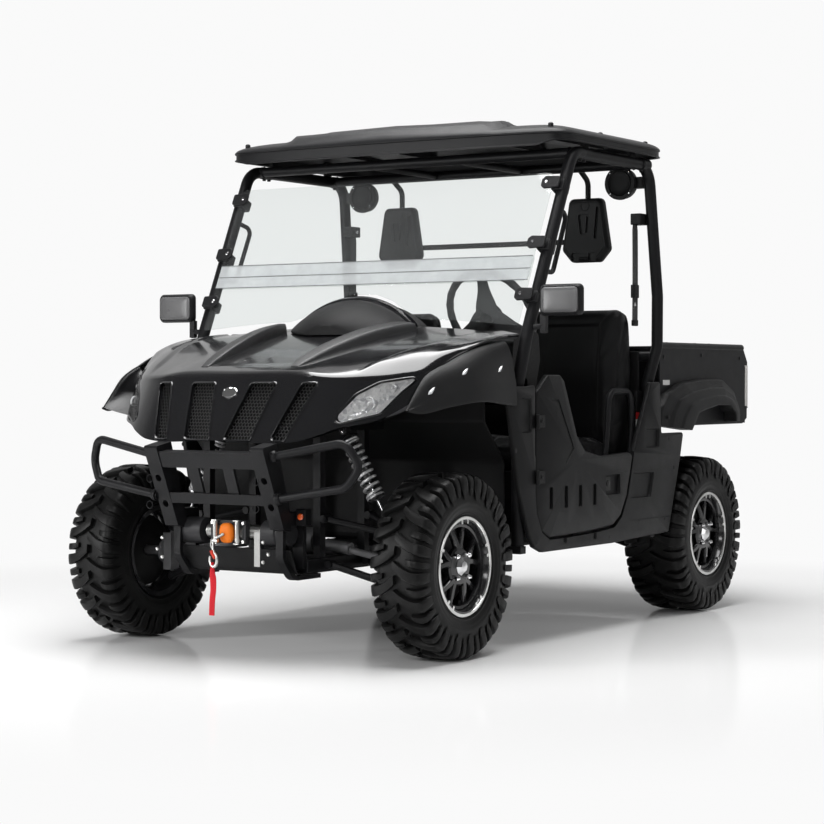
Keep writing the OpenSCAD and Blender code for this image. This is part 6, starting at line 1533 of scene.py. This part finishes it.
# ---------------------------------------------------------------- Doors
# Half-height doors: a moulded black skin over a tube, with four pressed slots, a swept feature line and a slam
# latch in a pocket. Each swings on two pinned steel hinges at its front edge.
for hand, side in (("left", 1), ("right", -1)):
    body = f"door_{hand}"
    door = piece(f"door_skin_{hand}", [skin(slab(DOOR, side * 0.7195, side * 0.7438, 0.006, 0.006))], satin_black, body, crease=30)
    cuts = [([[y - .013, .562], [y - .013, .480], [y + .013, .480], [y + .013, .562]][::-1], side * 0.7438, 0.010) for y in (.600, .712, .821, .933)]
    cuts.append(([[1.022, .590], [1.022, .514], [1.139, .514], [1.139, .590]][::-1], side * 0.7438, 0.013))
    cuts.append(([[.604, .880], [.655, .879], [.775, .697], [.712, .640], [.706, .648], [.760, .697], [.650, .868], [.604, .869]], side * 0.7438, 0.0035))
    recessed(door, cuts, 0.0025)
    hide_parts(body)
    parts = []
    for z in (0.600, 0.800):
        parts.append(turned_on(np.array([side * 0.7535, 0.484 + AXLE, z - 0.026]), np.array([side * 0.7535, 0.484 + AXLE, z + 0.026]),
            [[0, 0.0055], [0.03, 0.008], [0.97, 0.008], [1, 0.0055]], 20))
        parts.append(block(*np.sort([[side * 0.7440, 0.490 + AXLE, z - 0.022], [side * 0.7500, 0.545 + AXLE, z + 0.022]], axis=0)))
        parts.append(turned_on(np.array([side * 0.7495, 0.520 + AXLE, z]), np.array([side * 0.7535, 0.520 + AXLE, z]), [[0, 0.0075], [0.7, 0.0075], [1, 0.004]], 6))
    parts.append(block(*np.sort([[side * 0.728, 0.640 + AXLE, 0.777], [side * 0.7442, 0.643 + AXLE, 0.845]], axis=0)))
    piece(f"door_hinges_{hand}", parts, moulded_black, body, crease=30, bevel=0.0012)
    at = np.array([side * 0.7315, 0, 0])
    plate = prism(rounded([[1.028, .531], [1.072, .531], [1.072, .582], [1.028, .582]], 0.006, 4, closed=True), [side * 0.7312, AXLE, 0], [0, 1, 0], [0, 0, 1],
        (0, side * 0.006))
    pull = turned_on(np.array([side * 0.737, 1.050 + AXLE, .556]), np.array([side * 0.741, 1.050 + AXLE, .556]), [[0, 0.013], [0.7, 0.012], [1, 0.009]], 24)
    piece(f"door_latch_{hand}", [plate, pull], drum_black, body, crease=30, bevel=0.001)

# ---------------------------------------------------------------- Cargo bed
# A pressed steel box, sprayed satin black inside and out: ribbed floor, folded walls with a round rail on top,
# corner posts at the rear, and a tailgate on two pins. It tips on a hinge behind the frame's end.
bed_paint = finish("bed_paint", (0.010, 0.010, 0.011), 0.40, grain=0.25, pitch=600.0, pores=True, spread=0.16)
WALL = rounded([[1563, 762], [2363, 762], [2407, 784], [2411, 1026], [2369, 1083], [1563, 1083]], 6, 4, closed=True) / 1000
parts = []
for side in (1, -1):
    parts.append(skin(slab(WALL, side * 0.6785, side * 0.6995, 0.003, 0.003)))
    rail = from_axle(rounded([[side * 689, 1567, 1085], [side * 689, 2364, 1085]], 20, 3))
    parts.append(tube(rail, 0.0148, 18))
    lo, hi = sorted([side * 0.649, side * 0.6985])
    parts.append(block([lo, 2.363 + AXLE, 0.765], [hi, 2.387 + AXLE, 1.020]))
# Floor with seven pressed ribs, front wall with a rolled top
floor_x = np.linspace(-0.678, 0.678, 113)
rib = 0.005 * step(np.abs(((floor_x + 0.097) % 0.194) - 0.097), 0.026, 0.044)
rib = 0.0065 - rib
fy = np.array([1.567, 1.600, 1.625, 2.350, 2.372, 2.386])
lift = np.array([0, 0, 1, 1, 0, 0.0])
top = np.stack(np.broadcast_arrays(floor_x[None], fy[:, None] + AXLE, 0.8155 + (rib[None] - 0.0015) * lift[:, None]), -1)
low = top - [0, 0, 0.010]
parts.append(skin(np.concatenate([top, low[:, ::-1]], 1)))
front = rounded([[1.5635, 0.764], [1.5845, 0.764], [1.5845, 1.070], [1.5885, 1.079], [1.580, 1.0845], [1.566, 1.082], [1.5635, 1.072]], 0.003, 3, closed=True)
parts.append(prism(front, [-0.678, AXLE, 0], [0, 1, 0], [0, 0, 1], (0, 1.356)))
for x0 in (-0.44, 0.0, 0.44):
    parts.append(block([x0 - 0.03, 1.584 + AXLE, 0.83], [x0 + 0.03, 1.590 + AXLE, 1.05]))
# Sills under the floor
for side in (1, -1):
    lo, hi = sorted([side * 0.640, side * 0.676])
    parts.append(block([lo, 1.570 + AXLE, 0.7625], [hi, 2.380 + AXLE, 0.8062]))
piece("bed_box", parts, bed_paint, "bed", replaces=["bed"], crease=28)
fittings, studs = [], []
for y, z in ((1.639, 1.094), (1.902, 1.094), (2.039, 1.094)):
    at = np.array([0.689, y + AXLE, z])
    fittings.append(turned_on(at, at + [0, 0, 0.006], [[0, 0.009], [0.6, 0.009], [1, 0.006]], 16))
for y, z in ((1.60, .80), (1.60, 1.04), (2.33, 1.04), (2.33, .80), (1.95, 1.05)):
    at = np.array([0.6990, y + AXLE, z])
    studs.append(turned_on(at, at + [0.0035, 0, 0], [[0, 0.0085], [0.6, 0.0085], [1, 0.005]], 12))
piece("bed_studs", mirror(fittings + studs), bed_paint, "bed", crease=30)
# Tailgate: a folded panel with three pressed fields, a latch handle and two pins
gate = [block([-0.643, 2.3895 + AXLE, 0.776], [0.643, 2.405 + AXLE, 1.046])]
gate.append(tube(from_axle([[-640, 2399, 1043], [640, 2399, 1043]]), 0.0115, 16))
for side in (1, -1):
    gate.append(tube(from_axle([[side * 630, 2402, 792], [side * 662, 2402, 792]]), 0.0058, 16))
gate_piece = piece("tailgate_panel", gate, bed_paint, "tailgate", crease=30, bevel=0.003)
cuts = []
for x0, x1 in ((-0.60, -0.24), (-0.20, 0.20), (0.24, 0.60)):
    q = rounded([[x0, .815], [x1, .815], [x1, 1.005], [x0, 1.005]], 0.02, 5, closed=True)
    c = q.mean(0)
    small = c + (q - c) * [0.955, 0.915]
    rows = [(2.409, c + (q - c) * 0.02), (2.409, c + (q - c) * 1.01), (2.405, q), (2.399, small), (2.399, c + (small - c) * 0.02)]
    cuts.append(skin(np.stack([np.stack([p[:, 0], np.full(len(p), y + AXLE), p[:, 1]], -1) for y, p in rows])))
carve(gate_piece, cuts)
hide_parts("tailgate")
handle = [block(from_axle([-60, 2399, 915]), from_axle([60, 2410, 945]))]
piece("gate_handle", handle, plate_black, "tailgate", crease=30, bevel=0.004)

# ---------------------------------------------------------------- Bed flares
# Moulded plastic arches outside the bed's walls, clipped on. Their outer faces fall in three steps to the tyre.
OUTER = rounded([[-425, 767], [-398, 841], [-335, 895], [-199, 936], [-11, 952], [165, 953], [285, 902], [347, 821], [347, 775]], 30, 5)
INNER = rounded([[253, 775], [247, 812], [197, 843], [87, 846], [-100, 818], [-170, 745]], 20, 5)[::-1]


def resample(path, count):
    """The same path with evenly spaced points."""
    path = np.asarray(path, float)
    far = np.concatenate([[0], np.cumsum(np.linalg.norm(np.diff(path, axis=0), axis=1))])
    at = np.linspace(0, far[-1], count)
    return np.stack([np.interp(at, far, path[:, k]) for k in range(path.shape[1])], -1)


outer, inner = resample(OUTER, 90), resample(INNER, 90)
# Across the face: part of the way from the outer edge to the arch, and x in mm from the bed's wall outwards
face = np.array([[0, 701.5], [0, 716], [0.012, 726], [0.03, 732], [0.06, 735], [0.30, 739], [0.33, 741], [0.355, 747], [0.38, 749], [0.60, 751.5], [0.63, 753],
    [0.655, 756.5], [0.68, 758], [0.90, 759.6], [0.97, 759.5], [1.0, 757], [1.0, 735], [1.0, 701.5]])
u = face[:, 0][None, :, None]
shape = outer[:, None] * (1 - u) + inner[:, None] * u
shape = np.concatenate([np.broadcast_to(face[None, :, 1:], shape.shape[:2] + (1,)), shape], -1)
flares = []
for side in (1, -1):
    grid = shape * [side, 1, 1] + [0, 1915, 0]
    flares.append(skin(from_axle(grid)))
piece("bed_flare_skins", flares, flare_black, "bed", replaces=["bed_flares"], crease=32)
marks = []
for a, y, z in ((1.557, -1, .80), (1.690, 1, .905), (2.215, 1, .862)):
    x = 0.7325 if z > .85 else 0.741
    at = np.array([x, a + AXLE, z])
    marks.append(turned_on(at, at + [0.004, 0, 0], [[0, 0.0085], [0.6, 0.0085], [1, 0.005]], 16))
piece("bed_flare_clips", mirror(marks), moulded_black, "bed", crease=30)

# ---------------------------------------------------------------- Tail lamps and labels
# Red acrylic lenses moulded over a pale diffuser strip, sonic-welded to a dark housing; on each side wall a blank
# white label.
lens_red = bpy.data.materials.new("lens_red")
lens_red.use_nodes = True
tree = lens_red.node_tree
link = tree.links.new
coat = tree.nodes["Principled BSDF"]
coat.inputs["Roughness"].default_value = 0.08
coat.inputs["Transmission Weight"].default_value = 0.25
coat.inputs["Coat Weight"].default_value = 0.6
place = node(tree, "ShaderNodeTexCoord")
ribs = node(tree, "ShaderNodeTexWave", Scale=46.0, Distortion=0.0, bands_direction="Z")
ramp = node(tree, "ShaderNodeValToRGB")
ramp.color_ramp.elements[0].color = (0.42, 0.010, 0.012, 1)
ramp.color_ramp.elements[1].color = (0.72, 0.035, 0.030, 1)
bump = node(tree, "ShaderNodeBump", Strength=0.35, Distance=0.002)
link(place.outputs["Object"], ribs.inputs["Vector"])
link(ribs.outputs["Fac"], ramp.inputs["Fac"])
link(ribs.outputs["Fac"], bump.inputs["Height"])
link(ramp.outputs["Color"], coat.inputs["Base Color"])
link(bump.outputs["Normal"], coat.inputs["Normal"])
red_parts, pale_parts, housing = [], [], []
for side in (1, -1):
    span = lambda a, b: sorted([side * a, side * b])
    (x0, x1), (x2, x3), (x4, x5) = span(649.5, 701.5), span(652, 699), span(649, 701)
    red_parts.append(block(from_axle([x2, 2408, 868]), from_axle([x3, 2414.5, 1008])))
    pale_parts.append(block(from_axle([x0, 2384, 836]), from_axle([x1, 2411, 1012])))
    housing.append(block(from_axle([x4, 2383, 827]), from_axle([x5, 2411, 835])))
piece("tail_lamp_lenses", red_parts, lens_red, "bed", replaces=["tail_lights"], crease=30, bevel=0.004)
diffuser = finish("pale_diffuser", (0.62, 0.60, 0.58), 0.25, grain=0.1, coat=0.4)
piece("tail_lamp_strips", pale_parts, diffuser, "bed", crease=30, bevel=0.003)
piece("tail_lamp_feet", housing, plate_black, "bed", crease=30, bevel=0.002)
label_white = finish("label_white", (0.72, 0.72, 0.71), 0.45, grain=0.05)
piece("bed_labels", mirror([block([0.6992, 1.592 + AXLE, 0.928], [0.7003, 1.652 + AXLE, 0.948])]), label_white, "bed", crease=30)
# A blank white and red tag hangs on the seat's side behind the door
piece("seat_tag", [block([0.699, 1.356 + AXLE, 0.742], [0.7005, 1.388 + AXLE, 0.795])], label_white, "chassis", crease=30)
label_red = finish("label_red", (0.55, 0.03, 0.03), 0.45, grain=0.05)
piece("seat_tag_field", [block([0.6995, 1.356 + AXLE, 0.795], [0.7010, 1.388 + AXLE, 0.822])], label_red, "chassis", crease=30)
# Stalk of the belt's buckle: stiff webbing from the seat's foot, with a plastic buckle on top, both sides
stalk = from_axle(np.array([[690, 1400, 640], [694, 1385, 720], [695, 1384, 860]]))
piece("buckle_stalks", mirror([tube(stalk, 0.0045, 10), block(from_axle([686, 1362, 826]), from_axle([699.5, 1408, 905]))]), plate_black, "chassis",
    crease=30, bevel=0.002)
